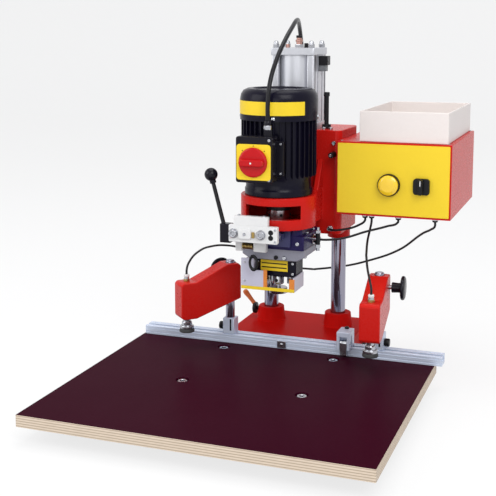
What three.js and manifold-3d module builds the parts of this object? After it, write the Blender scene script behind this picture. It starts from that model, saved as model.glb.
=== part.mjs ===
// Hinge boring machine: a bench machine that bores the cup and the two screw holes of a cabinet
// hinge in one downstroke and then presses the hinge in.
// Millimetres, +X to the right, +Y to the back, +Z up. Inside the machine group x = 0 is the spindle
// axis, y = 0 the front face of the fence and z = 0 the top of the table.
import * as THREE from "three";
import { mergeVertices } from "three/addons/utils/BufferGeometryUtils.js";
import Module from "manifold-3d";

// Gaps
const GAP = 0.3; // between two pieces that are seated or run on each other
const OVERRUN = 3; // how far a cut, or a joined body, runs past the face that it meets
const MERGE = 0.001; // vertices closer than this are one

// Support rails
const RAIL_HEIGHT = 30;
const RAIL_WIDTH = 40;
const RAIL_WALL = 4;
const RAIL_FRONT = 330; // in front of the fence face

// Table
const TABLE_WIDTH = 600;
const TABLE_FRONT = 476; // in front of the fence face
const TABLE_BACK = 24; // behind the fence face
const TABLE_THICKNESS = 21;
const BOLT_SPACING = 224; // across the machine
const BOLT_ROWS = [228, 26]; // in front of the fence face
const BOLT_RADIUS = 5;
const COUNTERBORE_RADIUS = 12;
const COUNTERBORE_DEPTH = 9;

// Fence
const FENCE_LENGTH = 610;
const FENCE_OFFSET = 9; // its middle lies right of the spindle axis
const FENCE_DEPTH = 30;
const FENCE_HEIGHT = 18;
const SLOT_WIDTH = 8;
const SLOT_LIP = 3;
const SLOT_INNER_WIDTH = 16;
const SLOT_DEPTH = 10;
const MARKER_WIDTH = 18;
const MARKER_HEIGHT = 14;
const MARKER_THICKNESS = 2;
const MARKER_SCREW_RADIUS = 3;
const MARKER_SCREW_HEIGHT = 1.5;

// Base casting
const BASE_WIDTH = 250;
const BASE_BACK = 215;
const BASE_TOP = 15;
const SOCKET_RADIUS = 27;
const SOCKET_FOOT_RADIUS = 32;
const SOCKET_TOP = 43;
const SOCKET_RIM = 3;
const SOCKET_DEPTH = 10; // of the column's seat below the table top

// Columns and bridge
const COLUMN_SPACING = 145.4;
const COLUMN_Y = 150;
const COLUMN_RADIUS = 15;
const COLUMN_SHOULDER = 248;
const STUD_RADIUS = 8;
const NUT_RADIUS = 13;
const NUT_HEIGHT = 10;
const BRIDGE_THICKNESS = 18;
const BRIDGE_DEPTH = 36;
const BRIDGE_END = 15; // past the column axis
const TONGUE_WIDTH = 132;

// Column clamping lever
const LEVER_Z = 34;
const LEVER_SCREW_RADIUS = 4;
const LEVER_HUB_RADIUS = 12;
const LEVER_HUB_LENGTH = 8;
const LEVER_ARM_RADIUS = 5;
const LEVER_ARM_OUT = 22;
const LEVER_ARM_UP = 32;
const LEVER_TIP_RADIUS = 6;

// Head casting
const STROKE = 111;
const HEAD_HALF_WIDTH = 98;
const HEAD_FRONT = 64;
const HEAD_BACK = 196;
const HEAD_BOTTOM = 223;
const HEAD_TOP = 428;
const HEAD_CORNER = 12;
const HEAD_WALL = 8;
const CAVITY_FLOOR = 233;
const CAVITY_TOP = 400;
const BOSS_RADIUS = 23;
const BOSS_BOTTOM = 202;
const HEAD_PORT_X = 80;
const HEAD_PORT_Z = 236;
const CABLE_GLAND_X = -12;
const CABLE_GLAND_Y = 173;
const CABLE_GLAND_RADIUS = 8;
const CABLE_GLAND_HEIGHT = 10;

// Lantern ring under the motor
const AXIS_Y = -22.5; // of motor and main spindle
const RING_RADIUS = 72;
const RING_WALL = 13;
const RING_BOTTOM = 253.5;
const RING_TOP = 314;
const RING_FLOOR = 10;
const RING_FLOOR_HOLE = 28;
const WINDOW_LEFT = -46;
const WINDOW_RIGHT = 57;
const WINDOW_BOTTOM = 273;
const WINDOW_TOP = 299;
const WEB_HALF_WIDTH = 62;

// Motor
const FLANGE_RADIUS = 64.5;
const FLANGE_THICKNESS = 12;
const FLANGE_CHAMFER = 3;
const NECK_RADIUS = 62.5;
const BODY_RADIUS = 65;
const RIB_RADIUS = 71.2;
const RIB_COUNT = 36;
const RIB_ROOT_SHARE = 0.4; // of one pitch
const RIB_TIP_SHARE = 0.3;
const BODY_BOTTOM = 350;
const BODY_TOP = 460;
const BODY_CAP = 4;
const COWL_WALL = 2;
const COWL_BOTTOM = 456;
const COWL_SHOULDER = 494;
const COWL_TOP = 514;
const COWL_CORNER = 14;
const GRILLE_RADIUS = 48;
const GRILLE_DROP = 3;
const GRILLE_HUB_RADIUS = 16;
const GRILLE_SLOTS = 12;
const GRILLE_SLOT_WIDTH = 6;

// Motor shaft and fan
const SHAFT_RADIUS = 10;
const COUPLING_RADIUS = 24;
const COUPLING_SPLIT = 285;
const COUPLING_HALF = 20;
const FAN_RADIUS = 62;
const FAN_BOTTOM = 468;
const FAN_DISC = 4;
const FAN_BLADE_HEIGHT = 18;
const FAN_BLADE_THICKNESS = 3;
const FAN_BLADES = 8;
const FAN_HUB_RADIUS = 16;

// Main switch on the motor
const SWITCH_X = -11;
const SWITCH_WIDTH = 70;
const SWITCH_BOTTOM = 348;
const SWITCH_HEIGHT = 84;
const SWITCH_FRONT = 132;
const SWITCH_WALL = 4;
const SWITCH_PLATE = 65;
const SWITCH_PLATE_THICKNESS = 2.5;
const SWITCH_PLATE_DROP = 4;
const SWITCH_KNOB_RADIUS = 27;
const SWITCH_KNOB_DISC = 6;
const SWITCH_GRIP_WIDTH = 14;
const SWITCH_GRIP_HEIGHT = 10;
const GRIP_SHARE = 0.9; // of the knob's radius
const SWITCH_STEM_RADIUS = 6;
const SWITCH_STEM_LENGTH = 12;
const TERMINAL_WIDTH = 12; // right of the box
const TERMINAL_DEPTH = 9;
const TERMINAL_INSET = 10;
const GLAND_X = 8.4;
const GLAND_Y = -112;
const GLAND_RADIUS = 8;
const GLAND_HEIGHT = 28;

// Air cylinder
const CYLINDER_Y = 102;
const CAP_SIZE = 90;
const CAP_THICKNESS = 14;
const CAP_TOP = 587;
const CYLINDER_SEAT = 416;
const BASE_CAP_THICKNESS = 25;
const BARREL_RADIUS = 41;
const BARREL_BORE = 36;
const PILLAR_SIZE = 14;
const SIDE_WALL = 4;
const SIDE_WALL_INSET = 4;
const CAP_NUT_RADIUS = 6.5;
const CAP_NUT_HEIGHT = 14;
const CAP_NUT_INSET = 9;
const PORT_RADIUS = 9;
const PORT_HEIGHT = 24;
const VALVE_WIDTH = 18;
const VALVE_DEPTH = 22;
const VALVE_BOTTOM = 541;
const VALVE_TOP = 571;
const ROD_RADIUS = 8;
const ROD_COLLAR_RADIUS = 12;
const ROD_COLLAR = 9;
const PISTON_THICKNESS = 13;
const STOP_X = 57.6;
const STOP_RADIUS = 4.5;
const STOP_TOP = 500;
const STOP_NUT_RADIUS = 9;
const STOP_NUT_HEIGHT = 8;
const STOP_HEAD_RADIUS = 6;

// Carrier block, adapter and gear head
const CARRIER_HALF_WIDTH = 62;
const CARRIER_FRONT = 62;
const CARRIER_BACK = 48;
const CARRIER_BOTTOM = 213;
const CARRIER_TOP = 240;
const CARRIER_NECK_INSET = 6;
const CARRIER_NECK_CORNER = 14;
const CARRIER_PORT_Y = 0;
const CARRIER_PORT_Z = 225;
const ADAPTER_FRONT = 55;
const ADAPTER_BACK = 30;
const ADAPTER_BOTTOM = 190.3;
const ADAPTER_CHAMFER = 15;
const ADAPTER_SHOULDER_SHARE = 0.4; // of its height
const CASE_CORNER = 3;
const GEARHEAD_HALF_WIDTH = 41;
const GEARHEAD_FRONT = 42;
const GEARHEAD_BACK = 6;
const GEARHEAD_BOTTOM = 156;
const GEARHEAD_WALL = 3;
const GEARHEAD_FLOOR = 10;

// Spindles, 45 x 9.5 mm hinge pattern
const SCREW_SPACING = 45;
const SCREW_SETBACK = 9.5;
const GEAR_TEETH = 16;
const GEAR_HEIGHT = 12;
const TOOTH_ROOT_SHARE = 0.5; // of one pitch
const TOOTH_TIP_SHARE = 0.2;
const ADDENDUM_SHARE = 0.85; // of the module
const DEDENDUM_SHARE = 1.15;
const GEAR_CLEARANCE = 1.2;
const SPINDLE_RADIUS = 9;
const SIDE_SPINDLE_RADIUS = 6;
const CHUCK_RADIUS = 11;
const SIDE_CHUCK_RADIUS = 8;
const CHUCK_LENGTH = 17;
const SHANK_RADIUS = 5;
const CUP_BIT_RADIUS = 17.5;
const CUP_BIT_HEIGHT = 11;
const SCREW_BIT_RADIUS = 4;
const BIT_TIP = 120;

// Guard
const GUARD_LEFT = -62;
const GUARD_WALL = 3;
const GUARD_FRONT = 62;
const GUARD_FENCE_GAP = 1; // between its side walls and the fence when it is down
const GUARD_BOTTOM = 132;
const GUARD_LIP = 6;
const GUARD_PANEL_TOP = 204;
const GUARD_PANEL_WIDTH = 45;
const GUARD_SIDE_TOP = 186;
const GUARD_BAR_WIDTH = 7;
const GUARD_RIGHT_TOP = 160;
const GUARD_BAR_TOP = 172;
const GUARD_RIGHT_BAR_TOP = 157;
const GUARD_FIXING_FRONT = 34;
const GUARD_FIXING_BACK = 10;

// Insertion tool
const PIVOT_Y = -96;
const PIVOT_Z = 244;
const PIVOT_RADIUS = 4;
const LUG_RADIUS = 7.5;
const LUG_WIDTH = 20;
const LUG_LEFT = -45;
const LUG_RIGHT = 8;
const CROSS_BACK = 62.3;
const CROSS_THICKNESS = 8;
const CROSS_BOTTOM = 220;
const CROSS_LEFT = -66.5;
const CROSS_TOP = 252;
const CROSS_RIGHT = 38;
const HOLDER_LENGTH = 12;
const HOLDER_HEIGHT = 23.5;
const HOLDER_DROP = 10.5; // below the bracket
const HOLDER_WIDTHS = [14, 26];
const HOLDER_GAP = 22;
const BRACKET_LEFT = -67;
const BRACKET_RIGHT = 28;
const BRACKET_BOTTOM = 233.5;
const BRACKET_TOP = 265.5;
const BRACKET_OFFSET = 8.3; // of the plate in front of the pivot
const BRACKET_THICKNESS = 10;
const BLOCK_RIGHT = 9.6;
const BLOCK_INSET = 10;
const BLOCK_HEIGHT = 17.5;
const BRACKET_BOLT_RADIUS = 8;
const BRACKET_BOLT_HEIGHT = 7;
const BRACKET_BOLTS = [-57.5, -3.7];
const BRACKET_BOSS_X = -34.7;
const BRACKET_BOSS_RADIUS = 12;
const BRACKET_BOSS_HEIGHT = 4;
const HAND_BLOCK_WIDTH = 21;
const HAND_BLOCK_BOTTOM = 228;
const HAND_BLOCK_TOP = 264;
const HAND_BLOCK_DEPTH = 18;
const HAND_LEVER_RADIUS = 3.7;
const HAND_LEVER_ROOT_RADIUS = 4;
const HAND_LEVER_INSET = 5; // from the block's left side
const HAND_LEVER_OUT = 25.5;
const HAND_LEVER_UP = 94;
const BALL_RADIUS = 12.5;

// Control box
const BOX_WIDTH = 219;
const BOX_FRONT = 30;
const BOX_DEPTH = 290;
const BOX_BOTTOM = 271;
const BOX_TOP = 412;
const BOX_WALL = 2;
const OUTLET_WIDTH = 120; // of the cable and hose outlet in the box's floor
const OUTLET_DEPTH = 84;
const OUTLET_INSET = 36; // in front of the box's back
const HOSE_PORT_RADIUS = 5;
const HOSE_PORT_LENGTH = 7;
const HOSE_PORT_SIDES = 10;
const PORT_ROW = 25; // behind the box's front
const PORT_SHORT_INSET = 51.7; // from the box's left side
const PORT_RIGHT_INSET = 64.7;
const PORT_LONG_INSET = 116.7;
const PORT_LEFT_INSET = 32.3; // from its right side
const PANEL_THICKNESS = 2;
const PANEL_MARGIN = 3;
const PANEL_BOTTOM_MARGIN = 4;
const PANEL_TOP_MARGIN = 3;
const CONTROLS_Z = 333;
const BUTTON_INSET = 103.3; // from the box's left side
const BUTTON_RADIUS = 19;
const BUTTON_HEIGHT = 9;
const BUTTON_TRAVEL = 5;
const BUTTON_STEM_RADIUS = 11;
const STEM_LENGTH = 22;
const SELECTOR_INSET = 54; // from the box's right side
const SELECTOR_RADIUS = 16;
const SELECTOR_DISC = 7;
const SELECTOR_GRIP_WIDTH = 9;
const SELECTOR_GRIP_HEIGHT = 12;
const SELECTOR_STEM_RADIUS = 8;
const BIN_LEFT_INSET = 43; // from the box's sides
const BIN_RIGHT_INSET = 8;
const BIN_FRONT = 36;
const BIN_DEPTH = 278;
const BIN_HEIGHT = 58;
const BIN_WALL = 3;

// Clamps
const POST_Y = 12;
const POST_X = { left: -113, right: 190 };
const ARM_TURN = { left: -44, right: 4 }; // degrees
const POST_RADIUS = 9;
const POST_TOP = 168;
const POST_CHAMFER = 3;
const BLOCK_WIDTH = 24;
const BLOCK_FRONT = 11; // in front of the post
const BLOCK_BACK = 14;
const BLOCK_TOP = 50;
const BLOCK_SEAT = 8; // depth of the post's seat below the block's top
const BLOCK_KNOB_Z = 32;
const BLOCK_KNOB_RADIUS = 8;
const BLOCK_KNOB_LENGTH = 10;
const BLOCK_SCREW_RADIUS = 3;
const ARM_WIDTH = 38;
const ARM_REACH = 94; // from the post to the presser
const ARM_FRONT = 112; // from the post to the arm's nose
const ARM_REAR = 15.5;
const ARM_NOSE_BOTTOM = 61;
const ARM_NOSE_TOP = 134;
const ARM_REAR_BOTTOM = 92;
const ARM_REAR_TOP = 163;
const ARM_CORNER = 5;
const FITTING_RADIUS = 5;
const FITTING_HEIGHT = 14;
const ARM_KNOB_Z = 140;
const ARM_KNOB_RADIUS = 23;
const ARM_KNOB_DISC = 9;
const ARM_KNOB_HUB_RADIUS = 10;
const ARM_KNOB_HUB = 17;
const ARM_KNOB_STUD_RADIUS = 4;
const ARM_KNOB_STUD = 5;
const PRESSER_STROKE = 22;
const PRESSER_RADIUS = 7;
const PRESSER_INSIDE = 36; // length of the rod in the arm at rest
const FOOT_RADIUS = 14;
const FOOT_THICKNESS = 6;
const FOOT_SOCKET_RADIUS = 10;
const FOOT_SOCKET_HEIGHT = 8;
const PAD_RADIUS = 15;
const PAD_TOP_RADIUS = 13.5;
const PAD_BOTTOM = 33;
const PAD_THICKNESS = 7;

// Flip stop
const STOP_BRACKET_X = 127;
const STOP_BRACKET_WIDTH = 26;
const STOP_BRACKET_TOP = 50;
const STOP_BRACKET_LEG = 6;
const STOP_BRACKET_FRONT = 12; // in front of the fence face
const STOP_BRACKET_BOTTOM = 14;
const STOP_PIN_Z = 28;
const STOP_PIN_RADIUS = 3;
const STOP_FINGER_BOTTOM = 4;
const STOP_EYE_RADIUS = 6;
const STOP_FOOT_DEPTH = 24; // on the fence top
const STOP_FOOT_HEIGHT = 10;

// Cords
const HOSE_RADIUS = 2.2;
const CABLE_RADIUS = 4.2;

// Worked out from the sizes above
const FLOOR = -(TABLE_THICKNESS + GAP + RAIL_HEIGHT);
const BOX_LEFT = HEAD_HALF_WIDTH + GAP;
const BOX_RIGHT = BOX_LEFT + BOX_WIDTH;
const BOX_BACK = BOX_FRONT + BOX_DEPTH;
const PORT_X_SHORT = BOX_LEFT + PORT_SHORT_INSET;
const PORT_X_RIGHT = BOX_LEFT + PORT_RIGHT_INSET;
const PORT_X_LONG = BOX_LEFT + PORT_LONG_INSET;
const PORT_X_LEFT = BOX_RIGHT - PORT_LEFT_INSET;
const BUTTON_X = BOX_LEFT + BUTTON_INSET;
const SELECTOR_X = BOX_RIGHT - SELECTOR_INSET;
const BIN_LEFT = BOX_LEFT + BIN_LEFT_INSET;
const BIN_RIGHT = BOX_RIGHT - BIN_RIGHT_INSET;
const ORIGIN_X = (BOX_RIGHT - TABLE_WIDTH / 2) / 2;
const ORIGIN_Y = (BOX_BACK - TABLE_FRONT) / 2;
const COLUMN_X = COLUMN_SPACING / 2;
const SCREW_X = SCREW_SPACING / 2;
const SCREW_Y = AXIS_Y + SCREW_SETBACK;
const BRIDGE_BOTTOM = COLUMN_SHOULDER + GAP;
const BRIDGE_TOP = BRIDGE_BOTTOM + BRIDGE_THICKNESS;
const BASE_CAP_TOP = CYLINDER_SEAT + GAP + BASE_CAP_THICKNESS;
const CAP_BOTTOM = CAP_TOP - CAP_THICKNESS;
const GUARD_RIGHT = GEARHEAD_HALF_WIDTH + GAP + GUARD_WALL;

const wasm = await Module();
wasm.setup();
const { Manifold, Mesh: SolidMesh } = wasm;

// Geometry to solid and back

// A closed geometry as a solid, with its faces pointing out.
function solid(geometry) {
  const loose = geometry.index ? geometry.toNonIndexed() : geometry;
  const bare = new THREE.BufferGeometry();
  bare.setAttribute("position", loose.getAttribute("position"));
  const merged = mergeVertices(bare, MERGE);
  const corners = [];
  for (let i = 0; i < merged.index.count; i += 3) {
    const [a, b, c] = [0, 1, 2].map((k) => merged.index.getX(i + k));
    if (a !== b && b !== c && a !== c) corners.push([a, b, c]);
  }
  const make = (faces) =>
    new Manifold(
      new SolidMesh({
        numProp: 3,
        vertProperties: new Float32Array(merged.attributes.position.array),
        triVerts: new Uint32Array(faces.flat()),
      }),
    );
  const made = make(corners);
  return made.volume() < 0 ? make(corners.map(([a, b, c]) => [a, c, b])) : made;
}

function join(first, ...others) {
  return others.reduce((whole, other) => whole.add(other), first);
}

function cut(first, ...others) {
  return others.reduce((whole, other) => whole.subtract(other), first);
}

function geometryOf(body) {
  const mesh = body.getMesh();
  const geometry = new THREE.BufferGeometry();
  geometry.setAttribute("position", new THREE.BufferAttribute(mesh.vertProperties, 3));
  geometry.setIndex(new THREE.BufferAttribute(mesh.triVerts, 1));
  geometry.computeVertexNormals();
  return geometry;
}

// Shapes

function block(x0, x1, y0, y1, z0, z1) {
  const geometry = new THREE.BoxGeometry(x1 - x0, y1 - y0, z1 - z0);
  geometry.translate((x0 + x1) / 2, (y0 + y1) / 2, (z0 + z1) / 2);
  return solid(geometry);
}

// A round bar along one axis ("x", "y" or "z"), from one place on it to another.
function bar(axis, [x, y, z], radius, from, to, sides = 24, endRadius = radius) {
  const geometry = new THREE.CylinderGeometry(endRadius, radius, to - from, sides);
  geometry.translate(0, (from + to) / 2, 0);
  if (axis === "x") geometry.rotateZ(-Math.PI / 2);
  if (axis === "z") geometry.rotateX(Math.PI / 2);
  const middle = { x: [0, y, z], y: [x, 0, z], z: [x, y, 0] }[axis];
  geometry.translate(...middle);
  return solid(geometry);
}

// A round bar between two points.
function strut(start, end, radius, sides = 12, endRadius = radius) {
  const a = new THREE.Vector3(...start);
  const along = new THREE.Vector3(...end).sub(a);
  const geometry = new THREE.CylinderGeometry(endRadius, radius, along.length(), sides);
  geometry.translate(0, along.length() / 2, 0);
  const turn = new THREE.Quaternion().setFromUnitVectors(
    new THREE.Vector3(0, 1, 0),
    along.clone().normalize(),
  );
  geometry.applyQuaternion(turn);
  geometry.translate(a.x, a.y, a.z);
  return solid(geometry);
}

// A solid of revolution about the vertical through (x, y); the profile is a list of [radius, z].
function turned([x, y], profile, sides = 32) {
  const points = profile.map(([radius, z]) => new THREE.Vector2(radius, z));
  const geometry = new THREE.LatheGeometry(points, sides);
  geometry.rotateX(Math.PI / 2);
  geometry.translate(x, y, 0);
  return solid(geometry);
}

function outline(points) {
  return new THREE.Shape(points.map(([u, v]) => new THREE.Vector2(u, v)));
}

// An outline in x and y, raised from z0 to z1.
function raised(points, z0, z1) {
  const geometry = new THREE.ExtrudeGeometry(outline(points), {
    depth: z1 - z0,
    bevelEnabled: false,
  });
  geometry.translate(0, 0, z0);
  return solid(geometry);
}

// An outline in y and z, drawn out from x0 to x1.
function sideways(points, x0, x1) {
  const geometry = new THREE.ExtrudeGeometry(outline(points), {
    depth: x1 - x0,
    bevelEnabled: false,
  });
  const axes = [
    new THREE.Vector3(0, 1, 0),
    new THREE.Vector3(0, 0, 1),
    new THREE.Vector3(1, 0, 0),
  ];
  geometry.applyMatrix4(new THREE.Matrix4().makeBasis(...axes));
  geometry.translate(x0, 0, 0);
  return solid(geometry);
}

// An outline in x and z, drawn out from y0 to y1.
function backwards(points, y0, y1) {
  const geometry = new THREE.ExtrudeGeometry(outline(points), {
    depth: y1 - y0,
    bevelEnabled: false,
  });
  const axes = [
    new THREE.Vector3(1, 0, 0),
    new THREE.Vector3(0, 0, 1),
    new THREE.Vector3(0, -1, 0),
  ];
  geometry.applyMatrix4(new THREE.Matrix4().makeBasis(...axes));
  geometry.translate(0, y1, 0);
  return solid(geometry);
}

// A rectangle with its corners rounded, as points.
function rounded(x0, x1, y0, y1, radius, steps = 4) {
  const centres = [
    [x1 - radius, y0 + radius, -Math.PI / 2],
    [x1 - radius, y1 - radius, 0],
    [x0 + radius, y1 - radius, Math.PI / 2],
    [x0 + radius, y0 + radius, Math.PI],
  ];
  return centres.flatMap(([x, y, start]) =>
    Array.from({ length: steps + 1 }, (_, i) => {
      const angle = start + (i / steps) * (Math.PI / 2);
      return [x + radius * Math.cos(angle), y + radius * Math.sin(angle)];
    }),
  );
}

// A wheel with straight-sided teeth or ribs round (x, y), turned by a share of one pitch.
function toothed([x, y], root, tip, count, rootShare, tipShare, phaseShare, z0, z1) {
  const pitch = (2 * Math.PI) / count;
  const points = Array.from({ length: count }, (_, i) => {
    const middle = (i + phaseShare) * pitch;
    return [
      [root, -rootShare / 2],
      [tip, -tipShare / 2],
      [tip, tipShare / 2],
      [root, rootShare / 2],
    ].map(([radius, share]) => {
      const angle = middle + share * pitch;
      return [x + radius * Math.cos(angle), y + radius * Math.sin(angle)];
    });
  }).flat();
  return raised(points, z0, z1);
}

// Materials

function material(color, roughness, metalness) {
  return new THREE.MeshStandardMaterial({ color, roughness, metalness });
}
const redEnamel = material(0xc4170f, 0.3, 0.1);
const tableFilm = material(0x3a1620, 0.35, 0);
const aluminium = material(0xaab2c0, 0.4, 0.8);
const steel = material(0xb9bcc4, 0.3, 0.9);
const chrome = material(0xd8dae0, 0.12, 1);
const motorBlack = material(0x15161f, 0.35, 0.2);
const blackPlastic = material(0x121214, 0.4, 0);
const carrierBlue = material(0x1b1c46, 0.4, 0.2);
const castGrey = material(0x77757f, 0.5, 0.5);
const yellow = material(0xf2c81e, 0.5, 0);
const redPlastic = material(0xc5131c, 0.35, 0);
const orange = material(0xd8601c, 0.4, 0);
const guardClear = material(0xb9bed6, 0.3, 0);
const rubber = material(0x18181a, 0.8, 0);
const binCream = material(0xd9d6c8, 0.7, 0);
const railPaint = material(0x2b2c30, 0.5, 0.4);

// Groups: the machine stands with the middle of its footprint on the origin
const machine = new THREE.Group();
machine.position.set(-ORIGIN_X, -ORIGIN_Y, -FLOOR);

function add(name, body, finish, parent = machine) {
  const mesh = new THREE.Mesh(body.isBufferGeometry ? body : geometryOf(body), finish);
  mesh.name = name;
  parent.add(mesh);
  return mesh;
}

const sides = [
  ["left", -1],
  ["right", 1],
];

// Support rails: channels that carry the table and the base casting
const railTop = FLOOR + RAIL_HEIGHT;
for (const [side, sign] of sides) {
  const middle = (sign * BOLT_SPACING) / 2;
  const channel = cut(
    block(middle - RAIL_WIDTH / 2, middle + RAIL_WIDTH / 2, -RAIL_FRONT, BASE_BACK, FLOOR, railTop),
    block(
      middle - RAIL_WIDTH / 2 + RAIL_WALL,
      middle + RAIL_WIDTH / 2 - RAIL_WALL,
      -RAIL_FRONT - OVERRUN,
      BASE_BACK + OVERRUN,
      FLOOR - OVERRUN,
      railTop - RAIL_WALL,
    ),
    ...BOLT_ROWS.map((row) =>
      bar("z", [middle, -row, 0], BOLT_RADIUS, railTop - RAIL_WALL - OVERRUN, railTop + OVERRUN, 12),
    ),
  );
  add(`support_rail_${side}`, channel, railPaint);
}

// Table board with counterbored bolt holes
{
  const holes = sides.flatMap(([, sign]) =>
    BOLT_ROWS.flatMap((row) => {
      const at = [(sign * BOLT_SPACING) / 2, -row, 0];
      return [
        bar("z", at, BOLT_RADIUS, -TABLE_THICKNESS - OVERRUN, OVERRUN, 12),
        bar("z", at, COUNTERBORE_RADIUS, -COUNTERBORE_DEPTH, OVERRUN, 20),
      ];
    }),
  );
  const board = block(
    -TABLE_WIDTH / 2,
    TABLE_WIDTH / 2,
    -TABLE_FRONT,
    TABLE_BACK,
    -TABLE_THICKNESS,
    0,
  );
  add("table_board", cut(board, ...holes), tableFilm);
}

// Base casting: a stepped slab with two column sockets
{
  const front = TABLE_BACK + GAP;
  const step = FENCE_DEPTH + GAP;
  const slab = sideways(
    [
      [front, -TABLE_THICKNESS],
      [BASE_BACK, -TABLE_THICKNESS],
      [BASE_BACK, BASE_TOP],
      [step, BASE_TOP],
      [step, 0],
      [front, 0],
    ],
    -BASE_WIDTH / 2,
    BASE_WIDTH / 2,
  );
  const sockets = sides.flatMap(([, sign]) => {
    const at = [sign * COLUMN_X, COLUMN_Y, 0];
    return [
      bar("z", at, SOCKET_RADIUS, 0, SOCKET_TOP),
      bar("z", at, SOCKET_FOOT_RADIUS, 0, SOCKET_TOP - SOCKET_RIM, 24, SOCKET_RADIUS),
    ];
  });
  const bores = sides.map(([, sign]) =>
    bar("z", [sign * COLUMN_X, COLUMN_Y, 0], COLUMN_RADIUS + GAP, -SOCKET_DEPTH, SOCKET_TOP + OVERRUN),
  );
  const screwHole = bar(
    "x",
    [0, COLUMN_Y, LEVER_Z],
    LEVER_SCREW_RADIUS + GAP,
    -COLUMN_X - SOCKET_FOOT_RADIUS - OVERRUN,
    -COLUMN_X,
    12,
  );
  add("base_casting", cut(join(slab, ...sockets), ...bores, screwHole), redEnamel);
}

// Columns, each with a shoulder, a stud and a nut above the bridge
for (const [side, sign] of sides) {
  const foot = -SOCKET_DEPTH + GAP;
  const nutBottom = BRIDGE_TOP + GAP;
  const column = turned(
    [sign * COLUMN_X, COLUMN_Y],
    [
      [0, foot],
      [COLUMN_RADIUS, foot],
      [COLUMN_RADIUS, COLUMN_SHOULDER],
      [STUD_RADIUS, COLUMN_SHOULDER],
      [STUD_RADIUS, nutBottom],
      [NUT_RADIUS, nutBottom],
      [NUT_RADIUS, nutBottom + NUT_HEIGHT],
      [0, nutBottom + NUT_HEIGHT],
    ],
    24,
  );
  add(`column_${side}`, column, chrome);
}

// Bridge across the column tops, with a tongue that holds the piston rod
{
  const ends = COLUMN_X + BRIDGE_END;
  const back = COLUMN_Y - BRIDGE_DEPTH / 2;
  const plate = join(
    block(-ends, ends, back, back + BRIDGE_DEPTH, BRIDGE_BOTTOM, BRIDGE_TOP),
    block(
      -TONGUE_WIDTH / 2,
      TONGUE_WIDTH / 2,
      CYLINDER_Y - ROD_COLLAR_RADIUS - OVERRUN,
      back + OVERRUN,
      BRIDGE_BOTTOM,
      BRIDGE_TOP,
    ),
  );
  const below = BRIDGE_BOTTOM - OVERRUN;
  const above = BRIDGE_TOP + OVERRUN;
  const holes = [
    ...sides.map(([, sign]) =>
      bar("z", [sign * COLUMN_X, COLUMN_Y, 0], STUD_RADIUS + GAP, below, above, 16),
    ),
    bar("z", [0, CYLINDER_Y, 0], ROD_RADIUS + GAP, below, above, 16),
  ];
  add("column_bridge", cut(plate, ...holes), steel);
}

// Piston rod, held in the bridge by two collars, with the piston on top
{
  const pistonBottom = BASE_CAP_TOP + GAP;
  const rod = turned(
    [0, CYLINDER_Y],
    [
      [0, BRIDGE_BOTTOM - GAP - ROD_COLLAR],
      [ROD_COLLAR_RADIUS, BRIDGE_BOTTOM - GAP - ROD_COLLAR],
      [ROD_COLLAR_RADIUS, BRIDGE_BOTTOM - GAP],
      [ROD_RADIUS, BRIDGE_BOTTOM - GAP],
      [ROD_RADIUS, BRIDGE_TOP + GAP],
      [ROD_COLLAR_RADIUS, BRIDGE_TOP + GAP],
      [ROD_COLLAR_RADIUS, BRIDGE_TOP + GAP + ROD_COLLAR],
      [ROD_RADIUS, BRIDGE_TOP + GAP + ROD_COLLAR],
      [ROD_RADIUS, pistonBottom],
      [BARREL_BORE - GAP, pistonBottom],
      [BARREL_BORE - GAP, pistonBottom + PISTON_THICKNESS],
      [0, pistonBottom + PISTON_THICKNESS],
    ],
    24,
  );
  add("piston_rod", rod, chrome);
}

// Fence: an extrusion with a T-slot along its top
const fenceLeft = FENCE_OFFSET - FENCE_LENGTH / 2;
const fenceRight = FENCE_OFFSET + FENCE_LENGTH / 2;
const slotY = POST_Y;
{
  const lip = FENCE_HEIGHT - SLOT_LIP;
  const slotBottom = FENCE_HEIGHT - SLOT_DEPTH;
  const profile = [
    [0, GAP],
    [FENCE_DEPTH, GAP],
    [FENCE_DEPTH, FENCE_HEIGHT],
    [slotY + SLOT_WIDTH / 2, FENCE_HEIGHT],
    [slotY + SLOT_WIDTH / 2, lip],
    [slotY + SLOT_INNER_WIDTH / 2, lip],
    [slotY + SLOT_INNER_WIDTH / 2, slotBottom],
    [slotY - SLOT_INNER_WIDTH / 2, slotBottom],
    [slotY - SLOT_INNER_WIDTH / 2, lip],
    [slotY - SLOT_WIDTH / 2, lip],
    [slotY - SLOT_WIDTH / 2, FENCE_HEIGHT],
    [0, FENCE_HEIGHT],
  ];
  add("fence_rail", sideways(profile, fenceLeft, fenceRight), aluminium);

  const markerTop = FENCE_HEIGHT - MARKER_THICKNESS;
  const face = -GAP;
  const marker = join(
    block(
      -MARKER_WIDTH / 2,
      MARKER_WIDTH / 2,
      face - MARKER_THICKNESS,
      face,
      markerTop - MARKER_HEIGHT,
      markerTop,
    ),
    bar(
      "y",
      [0, 0, markerTop - MARKER_HEIGHT / 2],
      MARKER_SCREW_RADIUS,
      face - MARKER_THICKNESS - MARKER_SCREW_HEIGHT,
      face,
      12,
    ),
  );
  add("centre_marker", marker, steel);
}

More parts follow.
